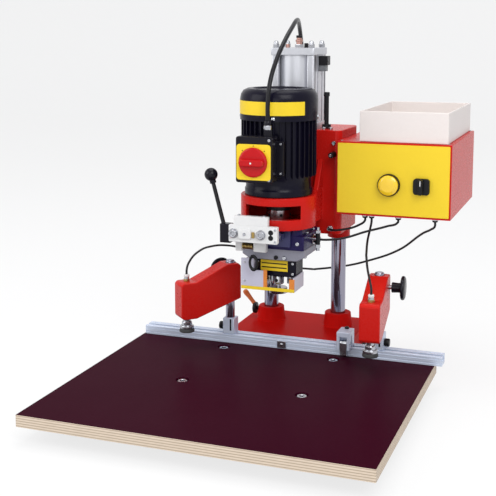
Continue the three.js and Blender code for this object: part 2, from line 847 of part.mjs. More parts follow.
// Clamping lever on the left socket: screw, hub and orange arm
{
  const tip = -COLUMN_X - COLUMN_RADIUS - GAP;
  const hubRight = -COLUMN_X - SOCKET_FOOT_RADIUS - GAP;
  const hubLeft = hubRight - LEVER_HUB_LENGTH;
  const root = [(hubLeft + hubRight) / 2, COLUMN_Y, LEVER_Z + LEVER_HUB_RADIUS / 2];
  const end = [root[0] - LEVER_ARM_OUT, COLUMN_Y, LEVER_Z + LEVER_ARM_UP];
  const knob = new THREE.SphereGeometry(LEVER_TIP_RADIUS, 10, 8);
  knob.translate(...end);
  const lever = join(
    bar("x", [0, COLUMN_Y, LEVER_Z], LEVER_SCREW_RADIUS, hubRight - OVERRUN, tip, 12),
    bar("x", [0, COLUMN_Y, LEVER_Z], LEVER_HUB_RADIUS, hubLeft, hubRight, 20),
    strut(root, end, LEVER_ARM_RADIUS),
    solid(knob),
  );
  add("column_lever", lever, orange);
}

// Head casting: hollow rear body, guide bosses, and the lantern ring that carries the motor
const ringInner = RING_RADIUS - RING_WALL;
{
  const body = raised(
    rounded(-HEAD_HALF_WIDTH, HEAD_HALF_WIDTH, HEAD_FRONT, HEAD_BACK, HEAD_CORNER),
    HEAD_BOTTOM,
    HEAD_TOP,
  );
  const web = block(-WEB_HALF_WIDTH, WEB_HALF_WIDTH, AXIS_Y, HEAD_FRONT + OVERRUN, RING_BOTTOM, RING_TOP);
  const ring = bar("z", [0, AXIS_Y, 0], RING_RADIUS, RING_BOTTOM, RING_TOP, 40);
  const bosses = sides.map(([, sign]) =>
    bar("z", [sign * COLUMN_X, COLUMN_Y, 0], BOSS_RADIUS, BOSS_BOTTOM, CAVITY_FLOOR),
  );
  const inner = HEAD_HALF_WIDTH - HEAD_WALL;
  const cavity = block(
    -inner,
    inner,
    HEAD_FRONT + HEAD_WALL,
    HEAD_BACK + OVERRUN,
    CAVITY_FLOOR,
    CAVITY_TOP,
  );
  const lantern = bar(
    "z",
    [0, AXIS_Y, 0],
    ringInner,
    RING_BOTTOM + RING_FLOOR,
    RING_TOP + OVERRUN,
    40,
  );
  const floorHole = bar(
    "z",
    [0, AXIS_Y, 0],
    RING_FLOOR_HOLE,
    RING_BOTTOM - OVERRUN,
    RING_BOTTOM + RING_FLOOR + OVERRUN,
  );
  const window = block(
    WINDOW_LEFT,
    WINDOW_RIGHT,
    AXIS_Y - RING_RADIUS - OVERRUN,
    AXIS_Y,
    WINDOW_BOTTOM,
    WINDOW_TOP,
  );
  const columnBores = sides.map(([, sign]) =>
    bar(
      "z",
      [sign * COLUMN_X, COLUMN_Y, 0],
      COLUMN_RADIUS + GAP,
      BOSS_BOTTOM - OVERRUN,
      CAVITY_FLOOR + OVERRUN,
    ),
  );
  const pocket = block(
    -CAP_SIZE / 2 - GAP,
    CAP_SIZE / 2 + GAP,
    CYLINDER_Y - CAP_SIZE / 2 - GAP,
    CYLINDER_Y + CAP_SIZE / 2 + GAP,
    CYLINDER_SEAT,
    HEAD_TOP + OVERRUN,
  );
  const rodHole = bar(
    "z",
    [0, CYLINDER_Y, 0],
    ROD_RADIUS + GAP,
    CAVITY_TOP - OVERRUN,
    CYLINDER_SEAT + OVERRUN,
    16,
  );
  const stopHole = bar(
    "z",
    [STOP_X, CYLINDER_Y, 0],
    STOP_RADIUS + GAP,
    CAVITY_TOP - OVERRUN,
    HEAD_TOP + OVERRUN,
    12,
  );
  const cuts = [cavity, lantern, floorHole, window, ...columnBores, pocket, rodHole, stopHole];
  const port = bar(
    "y",
    [HEAD_PORT_X, 0, HEAD_PORT_Z],
    HOSE_PORT_RADIUS,
    HEAD_FRONT - HOSE_PORT_LENGTH,
    HEAD_FRONT + OVERRUN,
    HOSE_PORT_SIDES,
  );
  const gland = bar(
    "z",
    [CABLE_GLAND_X, CABLE_GLAND_Y, 0],
    CABLE_GLAND_RADIUS,
    HEAD_TOP - OVERRUN,
    HEAD_TOP + CABLE_GLAND_HEIGHT,
    12,
  );
  const casting = cut(join(body, web, ring, ...bosses), ...cuts);
  add("head_casting", join(casting, port, gland), redEnamel);
}

// Motor: flange and neck, ribbed body, cowl over the fan
{
  const bottom = RING_TOP + GAP;
  const core = turned(
    [0, AXIS_Y],
    [
      [0, bottom],
      [FLANGE_RADIUS, bottom],
      [FLANGE_RADIUS, bottom + FLANGE_THICKNESS],
      [NECK_RADIUS, bottom + FLANGE_THICKNESS + FLANGE_CHAMFER],
      [NECK_RADIUS, BODY_BOTTOM],
      [BODY_RADIUS, BODY_BOTTOM],
      [BODY_RADIUS, BODY_TOP + BODY_CAP],
      [0, BODY_TOP + BODY_CAP],
    ],
    36,
  );
  const ribs = toothed(
    [0, AXIS_Y],
    BODY_RADIUS - GAP,
    RIB_RADIUS,
    RIB_COUNT,
    RIB_ROOT_SHARE,
    RIB_TIP_SHARE,
    0,
    BODY_BOTTOM,
    BODY_TOP,
  );
  const bore = bar("z", [0, AXIS_Y, 0], SHAFT_RADIUS + GAP, bottom - OVERRUN, COWL_TOP, 16);
  add("motor_housing", cut(join(core, ribs), bore), motorBlack);

  const inside = RIB_RADIUS + GAP;
  const outside = inside + COWL_WALL;
  const grilleTop = COWL_TOP - GRILLE_DROP;
  const cowl = turned(
    [0, AXIS_Y],
    [
      [0, grilleTop - COWL_WALL],
      [GRILLE_RADIUS + COWL_WALL, grilleTop - COWL_WALL],
      [outside - COWL_CORNER, COWL_TOP - COWL_WALL * 2],
      [inside, COWL_SHOULDER],
      [inside, COWL_BOTTOM],
      [outside, COWL_BOTTOM],
      [outside, COWL_SHOULDER + COWL_WALL],
      [outside - COWL_CORNER / 4, COWL_SHOULDER + COWL_CORNER * 0.7],
      [outside - COWL_CORNER, COWL_TOP],
      [GRILLE_RADIUS + COWL_WALL, COWL_TOP],
      [GRILLE_RADIUS, grilleTop],
      [0, grilleTop],
    ],
    36,
  );
  const slots = Array.from({ length: GRILLE_SLOTS }, (_, i) => {
    const geometry = new THREE.BoxGeometry(
      GRILLE_RADIUS - GRILLE_HUB_RADIUS - 2 * COWL_WALL,
      GRILLE_SLOT_WIDTH,
      COWL_CORNER,
    );
    geometry.translate((GRILLE_RADIUS + GRILLE_HUB_RADIUS) / 2, 0, grilleTop);
    geometry.rotateZ((i / GRILLE_SLOTS) * 2 * Math.PI);
    geometry.translate(0, AXIS_Y, 0);
    return solid(geometry);
  });
  add("fan_cowl", cut(cowl, ...slots), motorBlack);
}

// Motor shaft with the upper coupling half and the fan
{
  const couplingTop = COUPLING_SPLIT + COUPLING_HALF;
  const shaft = turned(
    [0, AXIS_Y],
    [
      [0, COUPLING_SPLIT],
      [COUPLING_RADIUS, COUPLING_SPLIT],
      [COUPLING_RADIUS, couplingTop],
      [SHAFT_RADIUS, couplingTop],
      [SHAFT_RADIUS, FAN_BOTTOM],
      [FAN_RADIUS, FAN_BOTTOM],
      [FAN_RADIUS, FAN_BOTTOM + FAN_DISC],
      [FAN_HUB_RADIUS, FAN_BOTTOM + FAN_DISC],
      [FAN_HUB_RADIUS, FAN_BOTTOM + FAN_DISC + FAN_BLADE_HEIGHT],
      [0, FAN_BOTTOM + FAN_DISC + FAN_BLADE_HEIGHT],
    ],
    24,
  );
  const blades = Array.from({ length: FAN_BLADES }, (_, i) => {
    const length = FAN_RADIUS - FAN_HUB_RADIUS;
    const height = FAN_BLADE_HEIGHT + FAN_DISC / 2;
    const geometry = new THREE.BoxGeometry(length, FAN_BLADE_THICKNESS, height);
    geometry.translate(
      FAN_HUB_RADIUS + length / 2 - GAP,
      0,
      FAN_BOTTOM + FAN_DISC / 2 + height / 2,
    );
    geometry.rotateZ((i / FAN_BLADES) * 2 * Math.PI);
    geometry.translate(0, AXIS_Y, 0);
    return solid(geometry);
  });
  add("motor_shaft", join(shaft, ...blades), steel);
}

// Main switch: box on the motor, yellow plate, red knob, and the gland of the motor cable
{
  const left = SWITCH_X - SWITCH_WIDTH / 2;
  const right = SWITCH_X + SWITCH_WIDTH / 2;
  const back = AXIS_Y - RIB_RADIUS - GAP;
  const top = SWITCH_BOTTOM + SWITCH_HEIGHT;
  const knobZ = top - SWITCH_PLATE_DROP - SWITCH_HEIGHT / 2;
  const stemHole = bar(
    "y",
    [SWITCH_X, 0, knobZ],
    SWITCH_STEM_RADIUS + GAP,
    -SWITCH_FRONT - SWITCH_PLATE_THICKNESS - OVERRUN,
    -SWITCH_FRONT + SWITCH_WALL + OVERRUN,
    16,
  );
  const shell = backwards(rounded(left, right, SWITCH_BOTTOM, top, SWITCH_WALL, 3), -SWITCH_FRONT, back);
  const hollow = block(
    left + SWITCH_WALL,
    right - SWITCH_WALL,
    -SWITCH_FRONT + SWITCH_WALL,
    back + OVERRUN,
    SWITCH_BOTTOM + SWITCH_WALL,
    top - SWITCH_WALL,
  );
  const gland = bar("z", [GLAND_X, GLAND_Y, 0], GLAND_RADIUS, top - GAP, top + GLAND_HEIGHT, 12);
  const terminal = block(
    right - SWITCH_WALL,
    right + TERMINAL_WIDTH,
    back - TERMINAL_DEPTH,
    back,
    SWITCH_BOTTOM + TERMINAL_INSET,
    top - TERMINAL_INSET,
  );
  add("switch_box", join(cut(shell, hollow, stemHole), gland, terminal), motorBlack);

  const plateFront = -SWITCH_FRONT - GAP - SWITCH_PLATE_THICKNESS;
  const plate = block(
    SWITCH_X - SWITCH_PLATE / 2,
    SWITCH_X + SWITCH_PLATE / 2,
    plateFront,
    -SWITCH_FRONT - GAP,
    knobZ - SWITCH_PLATE / 2,
    knobZ + SWITCH_PLATE / 2,
  );
  add("switch_plate", cut(plate, stemHole), yellow);

  const discBack = plateFront - GAP;
  const knob = join(
    bar("y", [SWITCH_X, 0, knobZ], SWITCH_KNOB_RADIUS, discBack - SWITCH_KNOB_DISC, discBack, 32),
    block(
      SWITCH_X - SWITCH_KNOB_RADIUS * GRIP_SHARE,
      SWITCH_X + SWITCH_KNOB_RADIUS * GRIP_SHARE,
      discBack - SWITCH_KNOB_DISC - SWITCH_GRIP_HEIGHT,
      discBack - GAP,
      knobZ - SWITCH_GRIP_WIDTH / 2,
      knobZ + SWITCH_GRIP_WIDTH / 2,
    ),
    bar("y", [SWITCH_X, 0, knobZ], SWITCH_STEM_RADIUS, discBack - GAP, discBack + SWITCH_STEM_LENGTH, 16),
  );
  add("main_switch_knob", knob, redPlastic);
}

// Air cylinder on the head: profile barrel with its base cap, top cap, and the depth stop rod
{
  const at = [0, CYLINDER_Y, 0];
  const half = CAP_SIZE / 2;
  const capSquare = rounded(-half, half, CYLINDER_Y - half, CYLINDER_Y + half, SIDE_WALL, 2);
  const pillar = half - SIDE_WALL_INSET / 2 - PILLAR_SIZE / 2;
  const pillars = [-1, 1].flatMap((across) =>
    [-1, 1].map((along) =>
      block(
        across * pillar - PILLAR_SIZE / 2,
        across * pillar + PILLAR_SIZE / 2,
        CYLINDER_Y + along * pillar - PILLAR_SIZE / 2,
        CYLINDER_Y + along * pillar + PILLAR_SIZE / 2,
        BASE_CAP_TOP - OVERRUN,
        CAP_BOTTOM - GAP,
      ),
    ),
  );
  const walls = [-1, 1].map((across) => {
    const middle = across * (half - SIDE_WALL_INSET);
    return block(
      middle - SIDE_WALL / 2,
      middle + SIDE_WALL / 2,
      CYLINDER_Y - pillar,
      CYLINDER_Y + pillar,
      BASE_CAP_TOP - OVERRUN,
      CAP_BOTTOM - GAP,
    );
  });
  const barrel = join(
    raised(capSquare, CYLINDER_SEAT + GAP, BASE_CAP_TOP),
    bar("z", at, BARREL_RADIUS, BASE_CAP_TOP - OVERRUN, CAP_BOTTOM - GAP, 36),
    ...pillars,
    ...walls,
  );
  const bore = bar("z", at, BARREL_BORE, BASE_CAP_TOP, CAP_TOP, 36);
  const rodBore = bar("z", at, ROD_RADIUS + GAP, CYLINDER_SEAT - OVERRUN, BASE_CAP_TOP + OVERRUN, 16);
  add("cylinder_barrel", cut(barrel, bore, rodBore), aluminium);

  const valveLeft = half - SIDE_WALL_INSET + SIDE_WALL / 2 + GAP;
  const valve = block(
    valveLeft,
    valveLeft + VALVE_WIDTH,
    CYLINDER_Y - VALVE_DEPTH / 2,
    CYLINDER_Y + VALVE_DEPTH / 2,
    VALVE_BOTTOM,
    VALVE_TOP,
  );
  add("valve_block", valve, blackPlastic);

  const nutAt = half - CAP_NUT_INSET;
  const nuts = [-1, 1].flatMap((across) =>
    [-1, 1].map((along) =>
      bar(
        "z",
        [across * nutAt, CYLINDER_Y + along * nutAt, 0],
        CAP_NUT_RADIUS,
        CAP_TOP - GAP,
        CAP_TOP + CAP_NUT_HEIGHT,
        6,
      ),
    ),
  );
  const port = bar("z", at, PORT_RADIUS, CAP_TOP - GAP, CAP_TOP + PORT_HEIGHT, 12);
  add("cylinder_cap", join(raised(capSquare, CAP_BOTTOM, CAP_TOP), ...nuts, port), aluminium);

  const stopBottom = BRIDGE_TOP + STROKE + GAP;
  const collar = HEAD_TOP + GAP;
  const stopRod = turned(
    [STOP_X, CYLINDER_Y],
    [
      [0, stopBottom],
      [STOP_RADIUS, stopBottom],
      [STOP_RADIUS, collar],
      [STOP_NUT_RADIUS, collar],
      [STOP_NUT_RADIUS, collar + STOP_NUT_HEIGHT],
      [STOP_RADIUS, collar + STOP_NUT_HEIGHT],
      [STOP_RADIUS, STOP_TOP - STOP_NUT_HEIGHT],
      [STOP_HEAD_RADIUS, STOP_TOP - STOP_NUT_HEIGHT],
      [STOP_HEAD_RADIUS, STOP_TOP],
      [0, STOP_TOP],
    ],
    16,
  );
  add("depth_stop_rod", stopRod, steel);
}

// Carrier block under the ring, adapter casting and gear head
const gearHeadTop = ADAPTER_BOTTOM - GAP;
const gearBottom = GEARHEAD_BOTTOM + GEARHEAD_FLOOR + GAP;
const gearCentres = Math.hypot(SCREW_X, SCREW_SETBACK);
const pitchRadius = gearCentres / 2;
const toothModule = gearCentres / GEAR_TEETH;
const gearTip = pitchRadius + ADDENDUM_SHARE * toothModule;
const gearRoot = pitchRadius - DEDENDUM_SHARE * toothModule;
{
  const spindleBore = bar("z", [0, AXIS_Y, 0], SPINDLE_RADIUS + GAP, GEARHEAD_BOTTOM - OVERRUN, RING_BOTTOM, 16);
  const carrier = join(
    raised(
      rounded(-CARRIER_HALF_WIDTH, CARRIER_HALF_WIDTH, -CARRIER_FRONT, CARRIER_BACK, CASE_CORNER, 2),
      CARRIER_BOTTOM,
      CARRIER_TOP,
    ),
    raised(
      rounded(
        -CARRIER_HALF_WIDTH + CARRIER_NECK_INSET,
        CARRIER_HALF_WIDTH - CARRIER_NECK_INSET,
        -CARRIER_FRONT + GAP,
        CARRIER_BACK - CARRIER_NECK_INSET,
        CARRIER_NECK_CORNER,
      ),
      CARRIER_TOP - OVERRUN,
      RING_BOTTOM - GAP,
    ),
  );
  const port = bar(
    "x",
    [0, CARRIER_PORT_Y, CARRIER_PORT_Z],
    HOSE_PORT_RADIUS,
    CARRIER_HALF_WIDTH - OVERRUN,
    CARRIER_HALF_WIDTH + HOSE_PORT_LENGTH,
    HOSE_PORT_SIDES,
  );
  add("carrier_block", join(cut(carrier, spindleBore), port), carrierBlue);

  const top = CARRIER_BOTTOM - GAP;
  const slope = ADAPTER_BOTTOM + (top - ADAPTER_BOTTOM) * ADAPTER_SHOULDER_SHARE;
  const adapter = backwards(
    [
      [-CARRIER_HALF_WIDTH, slope],
      [-CARRIER_HALF_WIDTH + ADAPTER_CHAMFER, ADAPTER_BOTTOM],
      [CARRIER_HALF_WIDTH - ADAPTER_CHAMFER, ADAPTER_BOTTOM],
      [CARRIER_HALF_WIDTH, slope],
      [CARRIER_HALF_WIDTH, top],
      [-CARRIER_HALF_WIDTH, top],
    ],
    -ADAPTER_FRONT,
    ADAPTER_BACK,
  );
  add("adapter_casting", cut(adapter, spindleBore), castGrey);

  const cavityHalf = GEARHEAD_HALF_WIDTH - GEARHEAD_WALL;
  const housing = raised(
    rounded(
      -GEARHEAD_HALF_WIDTH,
      GEARHEAD_HALF_WIDTH,
      -GEARHEAD_FRONT,
      GEARHEAD_BACK,
      CASE_CORNER,
      2,
    ),
    GEARHEAD_BOTTOM,
    gearHeadTop,
  );
  const cavity = block(
    -cavityHalf,
    cavityHalf,
    -GEARHEAD_FRONT + GEARHEAD_WALL,
    GEARHEAD_BACK - GEARHEAD_WALL,
    GEARHEAD_BOTTOM + GEARHEAD_FLOOR,
    ADAPTER_BOTTOM + OVERRUN,
  );
  const sideBores = sides.map(([, sign]) =>
    bar(
      "z",
      [sign * SCREW_X, SCREW_Y, 0],
      SIDE_SPINDLE_RADIUS + GAP,
      GEARHEAD_BOTTOM - OVERRUN,
      gearBottom,
      16,
    ),
  );
  add("gear_head", cut(housing, cavity, spindleBore, ...sideBores), blackPlastic);
}

// Spindles: the driven one in the middle with the cup bit, one with a screw-hole bit on each side
{
  const chuckTop = GEARHEAD_BOTTOM - GEAR_CLEARANCE;
  const chuckBottom = chuckTop - CHUCK_LENGTH;
  const couplingTop = COUPLING_SPLIT - GAP;
  const couplingBottom = couplingTop - COUPLING_HALF;
  const towardsRight = Math.atan2(SCREW_SETBACK, SCREW_X);
  const pitch = (2 * Math.PI) / GEAR_TEETH;
  const centre = turned(
    [0, AXIS_Y],
    [
      [0, BIT_TIP],
      [CUP_BIT_RADIUS, BIT_TIP],
      [CUP_BIT_RADIUS, BIT_TIP + CUP_BIT_HEIGHT],
      [SHANK_RADIUS, BIT_TIP + CUP_BIT_HEIGHT],
      [SHANK_RADIUS, chuckBottom],
      [CHUCK_RADIUS, chuckBottom],
      [CHUCK_RADIUS, chuckTop],
      [SPINDLE_RADIUS, chuckTop],
      [SPINDLE_RADIUS, couplingBottom],
      [COUPLING_RADIUS, couplingBottom],
      [COUPLING_RADIUS, couplingTop],
      [0, couplingTop],
    ],
    24,
  );
  const centreGear = toothed(
    [0, AXIS_Y],
    gearRoot,
    gearTip,
    GEAR_TEETH,
    TOOTH_ROOT_SHARE,
    TOOTH_TIP_SHARE,
    towardsRight / pitch,
    gearBottom,
    gearBottom + GEAR_HEIGHT,
  );
  add("spindle_centre", join(centre, centreGear), steel);

  for (const [side, sign] of sides) {
    const at = [sign * SCREW_X, SCREW_Y];
    const away = sign > 0 ? towardsRight + Math.PI : -towardsRight;
    // The centre gear's tooth at the right-hand mesh fixes the phase at the left-hand one
    const there = sign > 0 ? 0 : (Math.PI - 2 * towardsRight) / pitch;
    const shift = there - Math.round(there);
    const spindle = turned(
      at,
      [
        [0, BIT_TIP],
        [SCREW_BIT_RADIUS, BIT_TIP],
        [SCREW_BIT_RADIUS, chuckBottom],
        [SIDE_CHUCK_RADIUS, chuckBottom],
        [SIDE_CHUCK_RADIUS, chuckTop],
        [SIDE_SPINDLE_RADIUS, chuckTop],
        [SIDE_SPINDLE_RADIUS, gearBottom + GEAR_HEIGHT + GEAR_CLEARANCE],
        [0, gearBottom + GEAR_HEIGHT + GEAR_CLEARANCE],
      ],
      20,
    );
    const gear = toothed(
      at,
      gearRoot,
      gearTip,
      GEAR_TEETH,
      TOOTH_ROOT_SHARE,
      TOOTH_TIP_SHARE,
      away / pitch + 0.5 + shift,
      gearBottom,
      gearBottom + GEAR_HEIGHT,
    );
    add(`spindle_${side}`, join(spindle, gear), steel);
  }
}

// Guard round the bits: front panel, side walls, two bars and a lower lip
{
  const front = -GUARD_FRONT;
  const inFront = front + GUARD_WALL;
  const lipTop = GUARD_BOTTOM + GUARD_LIP;
  const panelRight = GUARD_LEFT + GUARD_PANEL_WIDTH;
  const wall = (x0, x1, y0, y1, z1) => block(x0, x1, y0, y1, GUARD_BOTTOM, z1);
  const guard = join(
    wall(GUARD_LEFT, GUARD_RIGHT, front, inFront, lipTop),
    wall(GUARD_LEFT, panelRight, front, inFront, GUARD_PANEL_TOP),
    wall(panelRight - OVERRUN, panelRight + GUARD_BAR_WIDTH, front, inFront, GUARD_BAR_TOP),
    wall(GUARD_RIGHT - GUARD_WALL - GUARD_BAR_WIDTH, GUARD_RIGHT, front, inFront, GUARD_RIGHT_BAR_TOP),
    wall(GUARD_LEFT, GUARD_LEFT + GUARD_WALL, front, -GUARD_FENCE_GAP, GUARD_SIDE_TOP),
    wall(GUARD_RIGHT - GUARD_WALL, GUARD_RIGHT, front, -GUARD_FENCE_GAP, GUARD_RIGHT_TOP),
    block(
      GUARD_LEFT + GUARD_WALL - GAP,
      -GEARHEAD_HALF_WIDTH - GAP,
      -GUARD_FIXING_FRONT,
      -GUARD_FIXING_BACK,
      GEARHEAD_BOTTOM,
      GUARD_SIDE_TOP,
    ),
  );
  add("guard", guard, guardClear);
}

// Insertion tool: fixed lugs and hinge holders, swinging bracket, pivot and hand lever
const crossFront = -CROSS_BACK - CROSS_THICKNESS;
{
  const lugs = [LUG_LEFT, LUG_RIGHT].flatMap((left) => [
    bar("x", [0, PIVOT_Y, PIVOT_Z], LUG_RADIUS, left, left + LUG_WIDTH, 20),
    block(left, left + LUG_WIDTH, PIVOT_Y, -CROSS_BACK, PIVOT_Z - LUG_RADIUS, PIVOT_Z + LUG_RADIUS / 2),
  ]);
  const cross = block(CROSS_LEFT, CROSS_RIGHT, crossFront, -CROSS_BACK, CROSS_BOTTOM, CROSS_TOP);
  const holders = HOLDER_WIDTHS.map((width, i) => {
    const left = CROSS_LEFT + i * (HOLDER_WIDTHS[0] + HOLDER_GAP);
    return block(
      left,
      left + width,
      crossFront - HOLDER_LENGTH,
      crossFront + OVERRUN,
      CROSS_BOTTOM - HOLDER_DROP,
      CROSS_BOTTOM - HOLDER_DROP + HOLDER_HEIGHT,
    );
  });
  const bore = bar(
    "x",
    [0, PIVOT_Y, PIVOT_Z],
    PIVOT_RADIUS + GAP,
    LUG_LEFT - OVERRUN,
    LUG_RIGHT + LUG_WIDTH + OVERRUN,
    16,
  );
  add("insertion_support", cut(join(cross, ...lugs, ...holders), bore), aluminium);

  const plateBack = PIVOT_Y - BRACKET_OFFSET;
  const plateFront = plateBack - BRACKET_THICKNESS;
  const knuckleLeft = LUG_LEFT + LUG_WIDTH + GAP;
  const knuckleRight = LUG_RIGHT - GAP;
  const middleZ = (BRACKET_BOTTOM + BRACKET_TOP) / 2;
  const bracket = join(
    block(BRACKET_LEFT, BRACKET_RIGHT, plateFront, plateBack, BRACKET_BOTTOM, BRACKET_TOP),
    block(
      BRACKET_LEFT + BLOCK_INSET,
      BLOCK_RIGHT,
      plateFront,
      plateBack,
      BRACKET_TOP - OVERRUN,
      BRACKET_TOP + BLOCK_HEIGHT,
    ),
    block(
      knuckleLeft,
      knuckleRight,
      plateBack - OVERRUN,
      PIVOT_Y,
      PIVOT_Z - LUG_RADIUS,
      PIVOT_Z + LUG_RADIUS,
    ),
    bar("x", [0, PIVOT_Y, PIVOT_Z], LUG_RADIUS, knuckleLeft, knuckleRight, 20),
    ...BRACKET_BOLTS.map((x) =>
      bar(
        "y",
        [x, 0, middleZ],
        BRACKET_BOLT_RADIUS,
        plateFront - BRACKET_BOLT_HEIGHT,
        plateFront + OVERRUN,
        12,
      ),
    ),
    bar(
      "y",
      [BRACKET_BOSS_X, 0, middleZ],
      BRACKET_BOSS_RADIUS,
      plateFront - BRACKET_BOSS_HEIGHT,
      plateFront + OVERRUN,
      6,
    ),
  );
  const knuckleBore = bar(
    "x",
    [0, PIVOT_Y, PIVOT_Z],
    PIVOT_RADIUS + GAP,
    knuckleLeft - OVERRUN,
    knuckleRight + OVERRUN,
    16,
  );
  add("insertion_bracket", cut(bracket, knuckleBore), aluminium);

  const blockRight = BRACKET_LEFT - GAP;
  const blockLeft = blockRight - HAND_BLOCK_WIDTH;
  const root = [blockLeft + HAND_LEVER_INSET, PIVOT_Y, HAND_BLOCK_TOP - HAND_LEVER_RADIUS];
  const tip = [root[0] - HAND_LEVER_OUT, PIVOT_Y, root[2] + HAND_LEVER_UP];
  const ball = new THREE.SphereGeometry(BALL_RADIUS, 20, 14);
  ball.translate(...tip);
  const lever = join(
    block(
      blockLeft,
      blockRight,
      PIVOT_Y - HAND_BLOCK_DEPTH / 2,
      PIVOT_Y + HAND_BLOCK_DEPTH / 2,
      HAND_BLOCK_BOTTOM,
      HAND_BLOCK_TOP,
    ),
    bar(
      "x",
      [0, PIVOT_Y, PIVOT_Z],
      PIVOT_RADIUS,
      blockRight - OVERRUN,
      LUG_RIGHT + LUG_WIDTH + OVERRUN,
      16,
    ),
    strut(root, tip, HAND_LEVER_ROOT_RADIUS, 12, HAND_LEVER_RADIUS),
    solid(ball),
  );
  add("insertion_lever", lever, blackPlastic);
}

// Control box, its panel, the start button, the selector and the bin on top
{
  const stemHole = (x, radius) =>
    bar("y", [x, 0, CONTROLS_Z], radius + GAP, BOX_FRONT - PANEL_THICKNESS - OVERRUN, BOX_FRONT + BOX_WALL + OVERRUN, 16);
  const holes = [stemHole(BUTTON_X, BUTTON_STEM_RADIUS), stemHole(SELECTOR_X, SELECTOR_STEM_RADIUS)];
  const shell = cut(
    block(BOX_LEFT, BOX_RIGHT, BOX_FRONT, BOX_BACK, BOX_BOTTOM, BOX_TOP),
    block(
      BOX_LEFT + BOX_WALL,
      BOX_RIGHT - BOX_WALL,
      BOX_FRONT + BOX_WALL,
      BOX_BACK - BOX_WALL,
      BOX_BOTTOM + BOX_WALL,
      BOX_TOP - BOX_WALL,
    ),
    block(
      (BOX_LEFT + BOX_RIGHT - OUTLET_WIDTH) / 2,
      (BOX_LEFT + BOX_RIGHT + OUTLET_WIDTH) / 2,
      BOX_BACK - OUTLET_INSET - OUTLET_DEPTH,
      BOX_BACK - OUTLET_INSET,
      BOX_BOTTOM - OVERRUN,
      BOX_BOTTOM + BOX_WALL + OVERRUN,
    ),
    ...holes,
  );
  const ports = [PORT_X_SHORT, PORT_X_RIGHT, PORT_X_LONG, PORT_X_LEFT].map((x) =>
    bar(
      "z",
      [x, BOX_FRONT + PORT_ROW, 0],
      HOSE_PORT_RADIUS,
      BOX_BOTTOM - HOSE_PORT_LENGTH,
      BOX_BOTTOM + BOX_WALL / 2,
      HOSE_PORT_SIDES,
    ),
  );
  add("control_box", join(shell, ...ports), redEnamel);

  const panelBack = BOX_FRONT - GAP;
  const panelFront = panelBack - PANEL_THICKNESS;
  const panel = block(
    BOX_LEFT + PANEL_MARGIN,
    BOX_RIGHT - PANEL_MARGIN,
    panelFront,
    panelBack,
    BOX_BOTTOM + PANEL_BOTTOM_MARGIN,
    BOX_TOP - PANEL_TOP_MARGIN,
  );
  add("control_panel", cut(panel, ...holes), yellow);

  const capBack = panelFront - BUTTON_TRAVEL - GAP;
  const button = join(
    bar("y", [BUTTON_X, 0, CONTROLS_Z], BUTTON_RADIUS, capBack - BUTTON_HEIGHT, capBack, 28),
    bar("y", [BUTTON_X, 0, CONTROLS_Z], BUTTON_STEM_RADIUS, capBack - GAP, capBack + STEM_LENGTH, 16),
  );
  add("start_button", button, yellow);

  const discBack = panelFront - GAP;
  const selector = join(
    bar("y", [SELECTOR_X, 0, CONTROLS_Z], SELECTOR_RADIUS, discBack - SELECTOR_DISC, discBack, 24),
    block(
      SELECTOR_X - SELECTOR_GRIP_WIDTH / 2,
      SELECTOR_X + SELECTOR_GRIP_WIDTH / 2,
      discBack - SELECTOR_DISC - SELECTOR_GRIP_HEIGHT,
      discBack - GAP,
      CONTROLS_Z - SELECTOR_RADIUS * GRIP_SHARE,
      CONTROLS_Z + SELECTOR_RADIUS * GRIP_SHARE,
    ),
    bar("y", [SELECTOR_X, 0, CONTROLS_Z], SELECTOR_STEM_RADIUS, discBack - GAP, discBack + STEM_LENGTH, 16),
  );
  add("selector_knob", selector, blackPlastic);

  const binBottom = BOX_TOP + GAP;
  const bin = cut(
    block(BIN_LEFT, BIN_RIGHT, BIN_FRONT, BIN_FRONT + BIN_DEPTH, binBottom, binBottom + BIN_HEIGHT),
    block(
      BIN_LEFT + BIN_WALL,
      BIN_RIGHT - BIN_WALL,
      BIN_FRONT + BIN_WALL,
      BIN_FRONT + BIN_DEPTH - BIN_WALL,
      binBottom + BIN_WALL,
      binBottom + BIN_HEIGHT + OVERRUN,
    ),
  );
  add("hinge_bin", bin, binCream);
}

